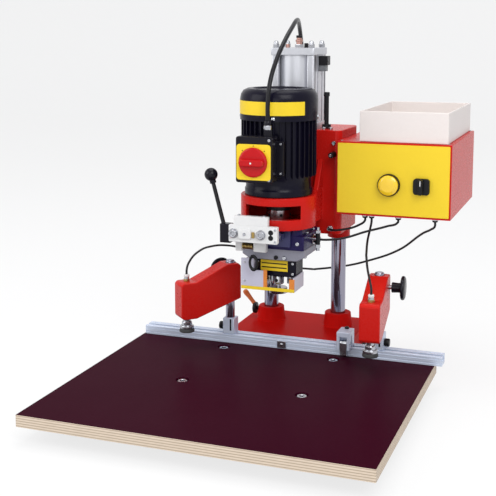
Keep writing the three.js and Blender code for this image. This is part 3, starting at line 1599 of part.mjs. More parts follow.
// Clamps: block on the fence, post, and the arm turned about the post with its presser and knob
for (const [side, sign] of sides) {
  const x = POST_X[side];
  const seat = BLOCK_TOP - BLOCK_SEAT;
  const blockBottom = FENCE_HEIGHT + GAP;
  const screwEnd = x + sign * POST_RADIUS;
  const knobFace = x + sign * (BLOCK_WIDTH / 2 + GAP);
  const knobEnd = knobFace + sign * BLOCK_KNOB_LENGTH;
  const [screwLow, screwHigh] = [screwEnd, knobFace + sign * OVERRUN].sort((a, b) => a - b);
  const screwHole = bar(
    "x",
    [0, POST_Y, BLOCK_KNOB_Z],
    BLOCK_SCREW_RADIUS + GAP,
    Math.min(screwEnd - sign * OVERRUN, knobFace + sign * OVERRUN),
    Math.max(screwEnd - sign * OVERRUN, knobFace + sign * OVERRUN),
    12,
  );
  const tongue = block(
    x - BLOCK_WIDTH / 2,
    x + BLOCK_WIDTH / 2,
    slotY - SLOT_WIDTH / 2 + GAP,
    slotY + SLOT_WIDTH / 2 - GAP,
    FENCE_HEIGHT - SLOT_LIP,
    blockBottom + OVERRUN,
  );
  const foot = join(
    block(
      x - BLOCK_WIDTH / 2,
      x + BLOCK_WIDTH / 2,
      POST_Y - BLOCK_FRONT,
      POST_Y + BLOCK_BACK,
      blockBottom,
      BLOCK_TOP,
    ),
    tongue,
  );
  const socket = bar("z", [x, POST_Y, 0], POST_RADIUS + GAP, seat, BLOCK_TOP + OVERRUN, 20);
  add(`post_block_${side}`, cut(foot, socket, screwHole), aluminium);

  const [knobLow, knobHigh] = [knobFace, knobEnd].sort((a, b) => a - b);
  const knob = join(
    bar("x", [0, POST_Y, BLOCK_KNOB_Z], BLOCK_KNOB_RADIUS, knobLow, knobHigh, 14),
    bar("x", [0, POST_Y, BLOCK_KNOB_Z], BLOCK_SCREW_RADIUS, screwLow, screwHigh, 12),
  );
  add(`block_knob_${side}`, knob, blackPlastic);

  const post = turned(
    [x, POST_Y],
    [
      [0, seat + GAP],
      [POST_RADIUS, seat + GAP],
      [POST_RADIUS, POST_TOP - POST_CHAMFER],
      [POST_RADIUS - POST_CHAMFER, POST_TOP],
      [0, POST_TOP],
    ],
    20,
  );
  add(`clamp_post_${side}`, post, chrome);

  const swivel = new THREE.Group();
  swivel.position.set(x, POST_Y, 0);
  swivel.rotation.z = THREE.MathUtils.degToRad(ARM_TURN[side]);
  machine.add(swivel);

  const half = ARM_WIDTH / 2;
  const profile = [
    [-ARM_FRONT, ARM_NOSE_BOTTOM + ARM_CORNER],
    [-ARM_FRONT + ARM_CORNER, ARM_NOSE_BOTTOM],
    [-ARM_REACH + FOOT_RADIUS, ARM_NOSE_BOTTOM],
    [ARM_REAR, ARM_REAR_BOTTOM],
    [ARM_REAR, ARM_REAR_TOP - ARM_CORNER],
    [ARM_REAR - ARM_CORNER, ARM_REAR_TOP],
    [-POST_RADIUS - ARM_CORNER, ARM_REAR_TOP],
    [-ARM_REACH + FOOT_RADIUS, ARM_NOSE_TOP],
    [-ARM_FRONT + ARM_CORNER, ARM_NOSE_TOP],
    [-ARM_FRONT, ARM_NOSE_TOP - ARM_CORNER],
  ];
  const postBore = bar("z", [0, 0, 0], POST_RADIUS + GAP, ARM_NOSE_BOTTOM, POST_TOP, 20);
  const rodTop = ARM_NOSE_BOTTOM + PRESSER_INSIDE;
  const rodBore = bar(
    "z",
    [0, -ARM_REACH, 0],
    PRESSER_RADIUS + GAP,
    ARM_NOSE_BOTTOM - OVERRUN,
    rodTop + GAP,
    16,
  );
  const studBore = bar(
    "x",
    [0, 0, ARM_KNOB_Z],
    ARM_KNOB_STUD_RADIUS + GAP,
    Math.min(0, sign * (half + OVERRUN)),
    Math.max(0, sign * (half + OVERRUN)),
    12,
  );
  const fitting = bar(
    "z",
    [0, -ARM_REACH, 0],
    FITTING_RADIUS,
    ARM_NOSE_TOP - OVERRUN,
    ARM_NOSE_TOP + FITTING_HEIGHT,
    12,
  );
  const arm = cut(join(sideways(profile, -half, half), fitting), postBore, rodBore, studBore);
  add(`clamp_arm_${side}`, arm, redEnamel, swivel);

  const hubStart = half + ARM_KNOB_STUD;
  const hubEnd = hubStart + ARM_KNOB_HUB;
  const discEnd = hubEnd + ARM_KNOB_DISC;
  const along = (radius, a, b, count) =>
    bar("x", [0, 0, ARM_KNOB_Z], radius, Math.min(sign * a, sign * b), Math.max(sign * a, sign * b), count);
  const armKnob = join(
    along(ARM_KNOB_STUD_RADIUS, POST_RADIUS + GAP, hubStart + OVERRUN, 12),
    along(ARM_KNOB_HUB_RADIUS, hubStart, hubEnd + OVERRUN, 16),
    along(ARM_KNOB_RADIUS, hubEnd, discEnd, 24),
  );
  add(`arm_knob_${side}`, armKnob, blackPlastic, swivel);

  const footBottom = PAD_BOTTOM + PAD_THICKNESS + GAP;
  const presser = turned(
    [0, -ARM_REACH],
    [
      [0, footBottom],
      [FOOT_RADIUS, footBottom],
      [FOOT_RADIUS, footBottom + FOOT_THICKNESS],
      [FOOT_SOCKET_RADIUS, footBottom + FOOT_THICKNESS],
      [FOOT_SOCKET_RADIUS, footBottom + FOOT_THICKNESS + FOOT_SOCKET_HEIGHT],
      [PRESSER_RADIUS, footBottom + FOOT_THICKNESS + FOOT_SOCKET_HEIGHT],
      [PRESSER_RADIUS, rodTop],
      [0, rodTop],
    ],
    20,
  );
  add(`presser_rod_${side}`, presser, steel, swivel);

  const pad = bar("z", [0, -ARM_REACH, 0], PAD_RADIUS, PAD_BOTTOM, PAD_BOTTOM + PAD_THICKNESS, 20, PAD_TOP_RADIUS);
  add(`presser_pad_${side}`, pad, rubber, swivel);
}

// Flip stop: U-shaped bracket on the fence with a finger hung on a pin
{
  const left = STOP_BRACKET_X - STOP_BRACKET_WIDTH / 2;
  const right = STOP_BRACKET_X + STOP_BRACKET_WIDTH / 2;
  const back = -GAP;
  const footBottom = FENCE_HEIGHT + GAP;
  const legs = [
    [left, left + STOP_BRACKET_LEG],
    [right - STOP_BRACKET_LEG, right],
  ].map(([x0, x1]) =>
    block(x0, x1, -STOP_BRACKET_FRONT, back, STOP_BRACKET_BOTTOM, STOP_BRACKET_TOP),
  );
  const head = block(
    left,
    right,
    -STOP_BRACKET_FRONT,
    STOP_FOOT_DEPTH,
    STOP_BRACKET_TOP - STOP_FOOT_HEIGHT,
    STOP_BRACKET_TOP,
  );
  const foot = block(left, right, STOP_BRACKET_LEG, STOP_FOOT_DEPTH, footBottom, STOP_BRACKET_TOP);
  const pinHole = bar(
    "x",
    [0, -STOP_BRACKET_FRONT / 2, STOP_PIN_Z],
    STOP_PIN_RADIUS + GAP,
    left - OVERRUN,
    right + OVERRUN,
    12,
  );
  add("stop_bracket", cut(join(head, foot, ...legs), pinHole), aluminium);

  const fingerLeft = left + STOP_BRACKET_LEG + GAP;
  const fingerRight = right - STOP_BRACKET_LEG - GAP;
  const at = [0, -STOP_BRACKET_FRONT / 2, STOP_PIN_Z];
  const finger = join(
    bar("x", at, STOP_PIN_RADIUS, left, right, 12),
    bar("x", at, STOP_EYE_RADIUS - GAP, fingerLeft, fingerRight, 16),
    block(
      fingerLeft,
      fingerRight,
      at[1] - STOP_EYE_RADIUS + GAP,
      at[1] + STOP_EYE_RADIUS - 2 * GAP,
      STOP_FINGER_BOTTOM,
      STOP_PIN_Z,
    ),
  );
  add("stop_finger", finger, steel);
}

// Cords: each follows a smooth curve through points chosen by hand, in the machine's frame
function cord(name, radius, points, steps, count = 8) {
  const path = new THREE.CatmullRomCurve3(points.map((p) => new THREE.Vector3(...p)));
  const section = outline(
    Array.from({ length: count }, (_, i) => {
      const angle = (i / count) * 2 * Math.PI;
      return [radius * Math.cos(angle), radius * Math.sin(angle)];
    }),
  );
  const geometry = new THREE.ExtrudeGeometry(section, { steps, extrudePath: path, bevelEnabled: false });
  add(name, solid(geometry), rubber);
}

const MOTOR_CABLE = [
  [8.4, -112, 460.6], [8.4, -112, 490], [9.5, -104, 527], [13, -76, 569], [17, -40, 603],
  [18, 2, 628], [12, 46, 640], [2, 90, 637], [-7, 128, 621], [-12, 157, 589],
  [-12, 171, 545], [-12, 173, 500], [-12, 173, 470], [-12, 173, 438.6],
];
const HOSE_HEAD_SHORT = [
  [150, 55, 263.6], [150, 55, 257], [139, 50, 248], [112, 43, 239], [87, 42, 236],
  [80, 49, 236], [80, 56.6, 236],
];
const HOSE_HEAD_LONG = [
  [215, 55, 263.6], [214, 55, 257], [195, 46, 250], [158, 31, 240], [119, 14, 228],
  [87, 2, 224.6], [69.4, 0, 225],
];
const HOSE_LEFT_UPPER = [
  [285, 55, 263.6], [285, 55.5, 255], [275, 68, 245], [257, 88, 233], [200, 140, 185],
  [120, 190, 144], [75, 207, 127.5], [38, 214, 118.5], [0.4, 216, 111.5],
];
const HOSE_LEFT_LOWER = [
  [-0.4, 216, 111.5], [-44, 212, 113.5], [-92, 192, 132], [-135, 150, 160], [-160, 105, 174.6],
  [-174, 60, 180.3], [-179.5, 15, 180.5], [-180.5, -36, 169], [-178.5, -54, 158], [-178.3, -55.62, 148.6],
];
const HOSE_RIGHT_UPPER = [
  [163, 55, 263.6], [163, 55, 256], [162.5, 44, 241], [165, 15, 225], [170.9, -17.5, 205.4],
];
const HOSE_RIGHT_LOWER = [
  [171.1, -18.2, 204.6], [180, -44, 186], [190, -67, 170], [196.2, -80.5, 158], [196.56, -81.77, 148.6],
];
cord("motor_cable", CABLE_RADIUS, MOTOR_CABLE, 22);
cord("hose_head_short", HOSE_RADIUS, HOSE_HEAD_SHORT, 6);
cord("hose_head_long", HOSE_RADIUS, HOSE_HEAD_LONG, 9);
cord("hose_left_upper", HOSE_RADIUS, HOSE_LEFT_UPPER, 16);
cord("hose_left_lower", HOSE_RADIUS, HOSE_LEFT_LOWER, 14);
cord("hose_right_upper", HOSE_RADIUS, HOSE_RIGHT_UPPER, 6);
cord("hose_right_lower", HOSE_RADIUS, HOSE_RIGHT_LOWER, 6);

const part = new THREE.Group();
part.add(machine);
export default part;
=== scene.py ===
import math

import bmesh
import bpy
from mathutils import Matrix, Vector
from mathutils.geometry import interpolate_bezier


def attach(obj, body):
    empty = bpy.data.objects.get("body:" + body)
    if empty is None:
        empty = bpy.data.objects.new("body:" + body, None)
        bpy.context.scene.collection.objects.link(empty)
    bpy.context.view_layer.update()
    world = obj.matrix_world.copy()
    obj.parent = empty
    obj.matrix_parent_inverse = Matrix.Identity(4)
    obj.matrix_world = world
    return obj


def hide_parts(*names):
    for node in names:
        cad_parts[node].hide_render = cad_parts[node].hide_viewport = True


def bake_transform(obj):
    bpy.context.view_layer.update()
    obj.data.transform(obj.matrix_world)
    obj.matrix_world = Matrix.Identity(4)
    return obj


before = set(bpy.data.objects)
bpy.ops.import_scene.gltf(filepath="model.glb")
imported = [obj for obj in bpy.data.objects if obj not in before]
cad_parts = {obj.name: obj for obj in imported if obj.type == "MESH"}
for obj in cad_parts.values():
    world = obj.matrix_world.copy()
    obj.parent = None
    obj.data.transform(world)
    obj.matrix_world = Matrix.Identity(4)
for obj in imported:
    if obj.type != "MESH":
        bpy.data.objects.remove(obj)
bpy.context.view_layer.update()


# Camera. It stands in front and to the right of the machine, a little above the motor, and looks
# down at it, as the photograph does. Places are given in the machine's own millimetres: x from the
# spindle axis, y from the fence face and z from the table top.
def place(x, y, z):
    return Vector((x - 8.65, y + 78, z + 51.3)) / 1000


camera = bpy.data.objects.new("camera", bpy.data.cameras.new("camera"))
bpy.context.scene.collection.objects.link(camera)
bpy.context.scene.camera = camera
CAMERA_PITCH = math.radians(7.862)
CAMERA_HEADING = math.radians(20.219)
camera.location = place(602.1, -1826.7, 623.3)
camera.rotation_euler = (math.pi / 2 - CAMERA_PITCH, 0, CAMERA_HEADING)
camera.data.sensor_width = 36
camera.data.lens = 73.39
camera.data.shift_y = -0.16
camera.data.clip_end = 50


# Grain groups. Real surfaces are never one even colour: a group mottles a colour and a roughness
# with fine noise, and gives a matching normal. Stretching the noise makes brushed metal.
def make_group(name, inputs, outputs):
    group = bpy.data.node_groups.new(name, "ShaderNodeTree")
    for label, kind, value in inputs:
        socket = group.interface.new_socket(label, in_out="INPUT", socket_type=kind)
        socket.default_value = value
    for label, kind in outputs:
        group.interface.new_socket(label, in_out="OUTPUT", socket_type=kind)
    return group, group.nodes.new("NodeGroupInput"), group.nodes.new("NodeGroupOutput")


def math_node(tree, operation, first, second, third=None):
    node = tree.nodes.new("ShaderNodeMath")
    node.operation = operation
    for socket, value in zip(node.inputs, (first, second, third)):
        if value is None:
            continue
        if isinstance(value, bpy.types.NodeSocket):
            tree.links.new(value, socket)
        else:
            socket.default_value = value
    return node.outputs[0]


grain, grain_in, grain_out = make_group(
    "surface grain",
    [
        ("Color", "NodeSocketColor", (0.5, 0.5, 0.5, 1)),
        ("Dark Color", "NodeSocketColor", (0.4, 0.4, 0.4, 1)),
        ("Roughness", "NodeSocketFloat", 0.4),
        ("Roughness Change", "NodeSocketFloat", 0.1),
        ("Stretch", "NodeSocketVector", (1, 1, 1)),
        ("Scale", "NodeSocketFloat", 600),
        ("Bump", "NodeSocketFloat", 0.1),
    ],
    [("Color", "NodeSocketColor"), ("Roughness", "NodeSocketFloat"), ("Normal", "NodeSocketVector")],
)
coordinates = grain.nodes.new("ShaderNodeTexCoord")
stretching = grain.nodes.new("ShaderNodeVectorMath")
stretching.operation = "MULTIPLY"
grain.links.new(coordinates.outputs["Object"], stretching.inputs[0])
grain.links.new(grain_in.outputs["Stretch"], stretching.inputs[1])
fine = grain.nodes.new("ShaderNodeTexNoise")
fine.inputs["Detail"].default_value = 3
grain.links.new(stretching.outputs[0], fine.inputs["Vector"])
grain.links.new(grain_in.outputs["Scale"], fine.inputs["Scale"])
broad = grain.nodes.new("ShaderNodeTexNoise")
broad.inputs["Scale"].default_value = 14
broad.inputs["Detail"].default_value = 4
grain.links.new(coordinates.outputs["Object"], broad.inputs["Vector"])
mottle = math_node(grain, "MULTIPLY_ADD", fine.outputs["Fac"], 0.6, 0)
mottle = math_node(grain, "MULTIPLY_ADD", broad.outputs["Fac"], 0.4, mottle)
colour_mix = grain.nodes.new("ShaderNodeMix")
colour_mix.data_type = "RGBA"
grain.links.new(mottle, colour_mix.inputs["Factor"])
grain.links.new(grain_in.outputs["Color"], colour_mix.inputs["A"])
grain.links.new(grain_in.outputs["Dark Color"], colour_mix.inputs["B"])
swing = math_node(grain, "SUBTRACT", mottle, 0.5)
rough = math_node(
    grain, "MULTIPLY_ADD", swing, grain_in.outputs["Roughness Change"], grain_in.outputs["Roughness"],
)
relief = grain.nodes.new("ShaderNodeBump")
relief.inputs["Distance"].default_value = 0.0004
grain.links.new(fine.outputs["Fac"], relief.inputs["Height"])
grain.links.new(grain_in.outputs["Bump"], relief.inputs["Strength"])
grain.links.new(colour_mix.outputs["Result"], grain_out.inputs["Color"])
grain.links.new(rough, grain_out.inputs["Roughness"])
grain.links.new(relief.outputs["Normal"], grain_out.inputs["Normal"])


def finish_of(name, colour, dark, roughness, change, scale=600, bump=0.1, stretch=(1, 1, 1), **sockets):
    made = bpy.data.materials.new(name)
    made.use_nodes = True
    nodes, links = made.node_tree.nodes, made.node_tree.links
    shader = nodes["Principled BSDF"]
    texture = nodes.new("ShaderNodeGroup")
    texture.node_tree = grain
    values = {
        "Color": (*colour, 1),
        "Dark Color": (*dark, 1),
        "Roughness": roughness,
        "Roughness Change": change,
        "Stretch": stretch,
        "Scale": scale,
        "Bump": bump,
    }
    for label, value in values.items():
        texture.inputs[label].default_value = value
    links.new(texture.outputs["Color"], shader.inputs["Base Color"])
    links.new(texture.outputs["Roughness"], shader.inputs["Roughness"])
    links.new(texture.outputs["Normal"], shader.inputs["Normal"])
    for label, value in sockets.items():
        shader.inputs[label.replace("_", " ")].default_value = value
    return made


# Air hoses and motor cable. Smooth black tubes: the hoses leave push-in fittings under the control
# box, and the cable leaves the gland on the switch box, goes over the motor and comes down behind
# the air cylinder.
hose_black = finish_of(
    "hose black", (0.006, 0.006, 0.008), (0.01, 0.01, 0.013), 0.3, 0.1, 900, 0.05, Specular_IOR_Level=0.22
)
HOSE_RADIUS = 2.2
CABLE_RADIUS = 4.2
TUBE_STEPS = 8  # between two knots of a route


def tube(name, route, radius):
    curve = bpy.data.curves.new(name, "CURVE")
    curve.dimensions = "3D"
    curve.bevel_depth = radius / 1000
    curve.bevel_resolution = 4
    curve.resolution_u = TUBE_STEPS
    curve.use_fill_caps = True
    spline = curve.splines.new("BEZIER")
    spline.bezier_points.add(len(route) - 1)
    for knot, spot in zip(spline.bezier_points, route):
        knot.co = place(*spot)
        knot.handle_left_type = knot.handle_right_type = "AUTO"
    drawn_line = bpy.data.objects.new(name + "_line", curve)
    bpy.context.scene.collection.objects.link(drawn_line)
    bpy.context.view_layer.update()
    line = [spline.bezier_points[0].co.copy()]
    for knot, after in zip(spline.bezier_points, spline.bezier_points[1:]):
        bend = (knot.co, knot.handle_right, after.handle_left, after.co)
        line += interpolate_bezier(*bend, TUBE_STEPS + 1)[1:]
    evaluated = drawn_line.evaluated_get(bpy.context.evaluated_depsgraph_get())
    mesh = bpy.data.meshes.new_from_object(evaluated)
    bpy.data.objects.remove(drawn_line)
    mesh.materials.clear()
    mesh.materials.append(hose_black)
    mesh.shade_smooth()
    made = bpy.data.objects.new(name, mesh)
    bpy.context.scene.collection.objects.link(made)
    return made, line


MOTOR_CABLE = [
    (8.4, -112, 460.6), (8.4, -112, 490), (9.5, -104, 527), (13, -76, 569), (17, -40, 603),
    (18, 2, 628), (12, 46, 640), (2, 90, 637), (-7, 128, 621), (-12, 157, 589),
    (-12, 171, 545), (-12, 173, 500), (-12, 173, 470), (-12, 173, 438.6),
]
HOSE_HEAD_SHORT = [
    (150, 55, 263.6), (150, 55, 257), (139, 50, 248), (112, 43, 239), (87, 42, 236),
    (80, 49, 236), (80, 56.6, 236),
]
HOSE_HEAD_LONG = [
    (215, 55, 263.6), (214, 55, 257), (195, 46, 250), (158, 31, 240), (119, 14, 228),
    (87, 2, 224.6), (69.4, 0, 225),
]
HOSE_LEFT_UPPER = [
    (285, 55, 263.6), (285, 55.5, 255), (275, 68, 245), (257, 88, 233), (200, 140, 185),
    (120, 190, 144), (75, 207, 127.5), (38, 214, 118.5), (0.4, 216, 111.5),
]
HOSE_LEFT_LOWER = [
    (-0.4, 216, 111.5), (-44, 212, 113.5), (-92, 192, 132), (-135, 150, 160), (-160, 105, 174.6),
    (-174, 60, 180.3), (-179.5, 15, 180.5), (-180.5, -36, 169), (-178.5, -54, 158), (-178.3, -55.62, 148.6),
]
HOSE_RIGHT_UPPER = [
    (163, 55, 263.6), (163, 55, 256), (162.5, 44, 241), (165, 15, 225), (170.9, -17.5, 205.4),
]
HOSE_RIGHT_LOWER = [
    (171.1, -18.2, 204.6), (180, -44, 186), (190, -67, 170), (196.2, -80.5, 158), (196.56, -81.77, 148.6),
]

motor_cable, line = tube("motor_cable_tube", MOTOR_CABLE, CABLE_RADIUS)
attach(motor_cable, "head")
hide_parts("motor_cable")

for name, route in (("hose_head_short", HOSE_HEAD_SHORT), ("hose_head_long", HOSE_HEAD_LONG)):
    made, line = tube(name + "_tube", route, HOSE_RADIUS)
    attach(made, "head")
    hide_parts(name)

# Each clamp hose hangs from the control box, which moves, to a clamp arm, which turns. Its upper
# stretch runs from the head down to the base, its lower one from the base to the arm. Each stretch
# is made in place with its transform baked in and is tied to no body; the two body names given
# with each route are not used.
for name, route, first, second in (
    ("hose_left_upper", HOSE_LEFT_UPPER, "head", "base"),
    ("hose_right_upper", HOSE_RIGHT_UPPER, "head", "base"),
    ("hose_left_lower", HOSE_LEFT_LOWER, "base", "clamp_left"),
    ("hose_right_lower", HOSE_RIGHT_LOWER, "base", "clamp_right"),
):
    made, line = tube(name + "_tube", route, HOSE_RADIUS)
    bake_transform(made)
    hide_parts(name)


# Table. A birch plywood board faced with smooth wine-brown film; the sawn edges show the plies.
# Four bolts in counterbored holes hold it to the channel rails underneath.
def rounded(bm, edges, radius, steps):
    made = bmesh.ops.bevel(
        bm,
        geom=edges,
        offset=radius,
        offset_type="OFFSET",
        segments=steps,
        profile=0.5,
        affect="EDGES",
        clamp_overlap=False,
        material=-1,
    )
    for face in made["faces"]:
        face.smooth = True


def softened(node, radius, steps=2, limit=30):
    """A copy of a CAD piece, in metres, with its sharp edges rounded by a radius in millimetres."""
    bm = bmesh.new()
    bm.from_mesh(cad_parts[node].data)
    flat = math.radians(1)
    bmesh.ops.remove_doubles(bm, verts=bm.verts, dist=0.00001)
    bmesh.ops.dissolve_limit(bm, angle_limit=flat, verts=bm.verts, edges=bm.edges)
    for face in bm.faces:
        gentle = [e for e in face.edges if flat < e.calc_face_angle(0) < math.radians(limit)]
        beside = [other.calc_area() for e in gentle for other in e.link_faces if other is not face]
        face.smooth = bool(beside) and face.calc_area() < 3 * max(beside)
    sharp = [e for e in bm.edges if e.is_manifold and e.calc_face_angle(0) > math.radians(limit)]
    rounded(bm, sharp, radius / 1000, steps)
    return bm


def piece(name, bm, materials, body, nodes=(), smooth=35):
    for edge in bm.edges:
        edge.smooth = edge.calc_face_angle(0) < math.radians(smooth)
    mesh = bpy.data.meshes.new(name)
    bm.to_mesh(mesh)
    bm.free()
    for each in materials if isinstance(materials, (list, tuple)) else [materials]:
        mesh.materials.append(each)
    made = bpy.data.objects.new(name, mesh)
    bpy.context.scene.collection.objects.link(made)
    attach(made, body)
    if nodes:
        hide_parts(*([nodes] if isinstance(nodes, str) else nodes))
    return made


film = finish_of(
    "table film", (0.036, 0.003, 0.012), (0.027, 0.002, 0.008), 0.38, 0.12, 260, 0.1,
    Specular_IOR_Level=0.008,
)

# The plies are bands of pale and darker birch along the board's thickness, with grain along them
plies = bpy.data.materials.new("birch plies")
plies.use_nodes = True
tree = plies.node_tree
where = tree.nodes.new("ShaderNodeTexCoord")
parts = tree.nodes.new("ShaderNodeSeparateXYZ")
tree.links.new(where.outputs["Object"], parts.inputs[0])
PLY_PAIR_THICKNESS = 0.0042  # of a pale ply and the darker one on it
ply = math_node(tree, "FRACT", math_node(tree, "DIVIDE", parts.outputs["Z"], PLY_PAIR_THICKNESS), 0)
ramp = tree.nodes.new("ShaderNodeValToRGB")
ramp.color_ramp.elements[0].color = (0.66, 0.55, 0.43, 1)
ramp.color_ramp.elements[1].position = 0.66
ramp.color_ramp.elements[1].color = (0.42, 0.32, 0.23, 1)
for spot, colour in (
    (0.58, (0.7, 0.59, 0.47, 1)),
    (0.9, (0.36, 0.27, 0.19, 1)),
    (1.0, (0.62, 0.51, 0.39, 1)),
):
    stop = ramp.color_ramp.elements.new(spot)
    stop.color = colour
tree.links.new(ply, ramp.inputs["Fac"])
wood_grain = tree.nodes.new("ShaderNodeGroup")
wood_grain.node_tree = grain
wood_grain.inputs["Stretch"].default_value = (0.1, 0.1, 1)
wood_grain.inputs["Scale"].default_value = 900
wood_grain.inputs["Roughness"].default_value = 0.65
wood_grain.inputs["Bump"].default_value = 0.5
fibre = tree.nodes.new("ShaderNodeTexNoise")
fibre.inputs["Scale"].default_value = 60
fibre.inputs["Detail"].default_value = 6
tree.links.new(where.outputs["Object"], fibre.inputs["Vector"])
toned = tree.nodes.new("ShaderNodeMix")
toned.data_type = "RGBA"
toned.inputs["B"].default_value = (0.34, 0.27, 0.2, 1)
tree.links.new(math_node(tree, "MULTIPLY", fibre.outputs["Fac"], 0.35), toned.inputs["Factor"])
tree.links.new(ramp.outputs["Color"], toned.inputs["A"])
tree.links.new(toned.outputs["Result"], tree.nodes["Principled BSDF"].inputs["Base Color"])
tree.links.new(wood_grain.outputs["Roughness"], tree.nodes["Principled BSDF"].inputs["Roughness"])
tree.links.new(wood_grain.outputs["Normal"], tree.nodes["Principled BSDF"].inputs["Normal"])

# The sawn sides are the upright faces at the board's outline; the bolt holes are further in
BOARD_MIDDLE_Y, BOARD_HALF_DEPTH = -0.148, 0.249
bm = softened("table_board", 0.8)
for face in bm.faces:
    middle = face.calc_center_median()
    upright = abs(face.normal.z) < 0.6
    outside = max(abs(middle.x), abs(middle.y - BOARD_MIDDLE_Y)) > BOARD_HALF_DEPTH
    face.material_index = 1 if upright and outside else 0
piece("table_top", bm, [film, plies], "base", "table_board")


def turned(bm, profile, at=(0, 0, 0), axis=(0, 0, 1), steps=48, angle=2 * math.pi, index=0):
    known = set(bm.faces)
    corners = [bm.verts.new((radius, 0, height)) for radius, height in profile]
    edges = [bm.edges.new(pair) for pair in zip(corners, corners[1:])]
    if angle < 2 * math.pi:
        edges.append(bm.edges.new((corners[-1], corners[0])))
    before = set(bm.verts) - set(corners)
    bmesh.ops.spin(
        bm,
        geom=corners + edges,
        cent=(0, 0, 0),
        axis=(0, 0, 1),
        angle=angle,
        steps=steps,
        use_merge=angle == 2 * math.pi,
    )
    made = [v for v in bm.verts if v not in before]
    if angle < 2 * math.pi:
        loose = [e for v in made for e in v.link_edges if len(e.link_faces) == 1]
        bmesh.ops.holes_fill(bm, edges=list(set(loose)), sides=0)
    turn = Vector((0, 0, 1)).rotation_difference(Vector(axis)).to_matrix()
    bmesh.ops.rotate(bm, verts=made, cent=(0, 0, 0), matrix=turn)
    bmesh.ops.translate(bm, verts=made, vec=at)
    for face in set(bm.faces) - known:
        face.material_index = index
        face.normal_update()
        face.smooth = abs(face.normal.dot(Vector(axis).normalized())) < 0.999
    return made


def settled(bm):
    """Millimetres in the machine's own places become metres in the frame."""
    bmesh.ops.remove_doubles(bm, verts=bm.verts, dist=0.01)
    bmesh.ops.recalc_face_normals(bm, faces=bm.faces)
    bmesh.ops.transform(
        bm, matrix=Matrix.Translation(place(0, 0, 0)) @ Matrix.Scale(0.001, 4), verts=bm.verts,
    )
    return bm


bright_steel = finish_of(
    "bright steel", (0.55, 0.56, 0.6), (0.38, 0.39, 0.42), 0.24, 0.14, 420, 0.08, Metallic=1.0,
)
bm = bmesh.new()
for x in (-112, 112):
    for y in (-228, -26):
        turned(
            bm,
            [(0, -6.5), (4.2, -6.5), (4.2, -2.2), (5, -1.6), (8, -1.6), (9, -2.4), (9, -8.6), (0, -8.6)],
            (x, y, 0),
            steps=36,
        )
piece("table_bolts", settled(bm), bright_steel, "base")


# Support rails. Two painted steel channels, open below, carry the table and the base casting.
# They stand on the bench.
rail_paint = finish_of("rail paint", (0.03, 0.031, 0.034), (0.022, 0.022, 0.025), 0.5, 0.15, 700, 0.3)
for side in ("left", "right"):
    piece(
        "rail_" + side, softened("support_rail_" + side, 0.7), rail_paint, "base", "support_rail_" + side,
    )


# Fence. A satin aluminium extrusion with a T-slot along its top and two fine grooves in its front.
# The door's edge stands against it; a small plate with a screw marks the spindle line.
satin_aluminium = finish_of(
    "satin aluminium", (0.66, 0.73, 0.86), (0.57, 0.64, 0.77), 0.42, 0.12, 500, 0.1, (0.03, 1, 1),
    Metallic=0.35,
)


def drawn(bm, outline, axis, start, end, index=0):
    known = set(bm.faces)
    spots = {
        "x": lambda u, v: (start, u, v),
        "y": lambda u, v: (u, start, v),
        "z": lambda u, v: (u, v, start),
    }
    corners = [bm.verts.new(spots[axis](u, v)) for u, v in outline]
    face = bm.faces.new(corners)
    grown = bmesh.ops.extrude_face_region(bm, geom=[face])["geom"]
    far = [g for g in grown if isinstance(g, bmesh.types.BMVert)]
    way = Vector((axis == "x", axis == "y", axis == "z")) * (end - start)
    bmesh.ops.translate(bm, verts=far, vec=way)
    for face in set(bm.faces) - known:
        face.material_index = index
    return corners + far


def eased(bm, radius, steps=2, limit=30, verts=None):
    chosen = set(verts) if verts else set(bm.verts)
    bmesh.ops.recalc_face_normals(bm, faces=bm.faces)
    sharp = [
        e
        for e in bm.edges
        if e.verts[0] in chosen and e.verts[1] in chosen and e.calc_face_angle(0) > math.radians(limit)
    ]
    rounded(bm, sharp, radius, steps)


FENCE_LEFT, FENCE_RIGHT = -296, 314
bm = bmesh.new()
drawn(
    bm,
    [
        (0, 0.3), (30, 0.3), (30, 18), (26.4, 18), (26.4, 17.2), (23.4, 17.2), (23.4, 18), (16, 18),
        (16, 15), (20, 15), (20, 8), (4, 8), (4, 15), (8, 15), (8, 18), (2.4, 18), (2.4, 17.4), (0, 17.4),
        (0, 13.6), (0.9, 13), (0, 12.4), (0, 5.6), (0.9, 5), (0, 4.4),
    ],
    "x", FENCE_LEFT, FENCE_RIGHT,
)
eased(bm, 0.25, 1, 50)
piece("fence", settled(bm), satin_aluminium, "base", "fence_rail")

TO_FRONT, TO_BACK, TO_RIGHT = (0, -1, 0), (0, 1, 0), (1, 0, 0)
bm = bmesh.new()
drawn(bm, [(-9, 2), (9, 2), (9, 16), (-9, 16)], "y", -2.3, -0.3)
eased(bm, 0.5)
turned(bm, [(0, 1.4), (1.8, 1.4), (2.9, 0.6), (3, 0), (0, 0)], (0, -2.3, 9), TO_FRONT, 32)
piece("marker_plate", settled(bm), bright_steel, "base", "centre_marker")


# Base casting. Red enamelled iron, duller than the head: a foot with two sockets, in which the
# columns stand. A small orange lever on the left socket clamps its column.
red_enamel = finish_of(
    "red enamel", (0.58, 0.013, 0.009), (0.5, 0.01, 0.007), 0.27, 0.08, 260, 0.05, Specular_IOR_Level=0.1
)
base_red = finish_of(
    "base red", (0.55, 0.008, 0.006), (0.48, 0.007, 0.005), 0.34, 0.08, 260, 0.05, Specular_IOR_Level=0.01
)
piece("base_foot", softened("base_casting", 1.6, 3), base_red, "base", "base_casting")

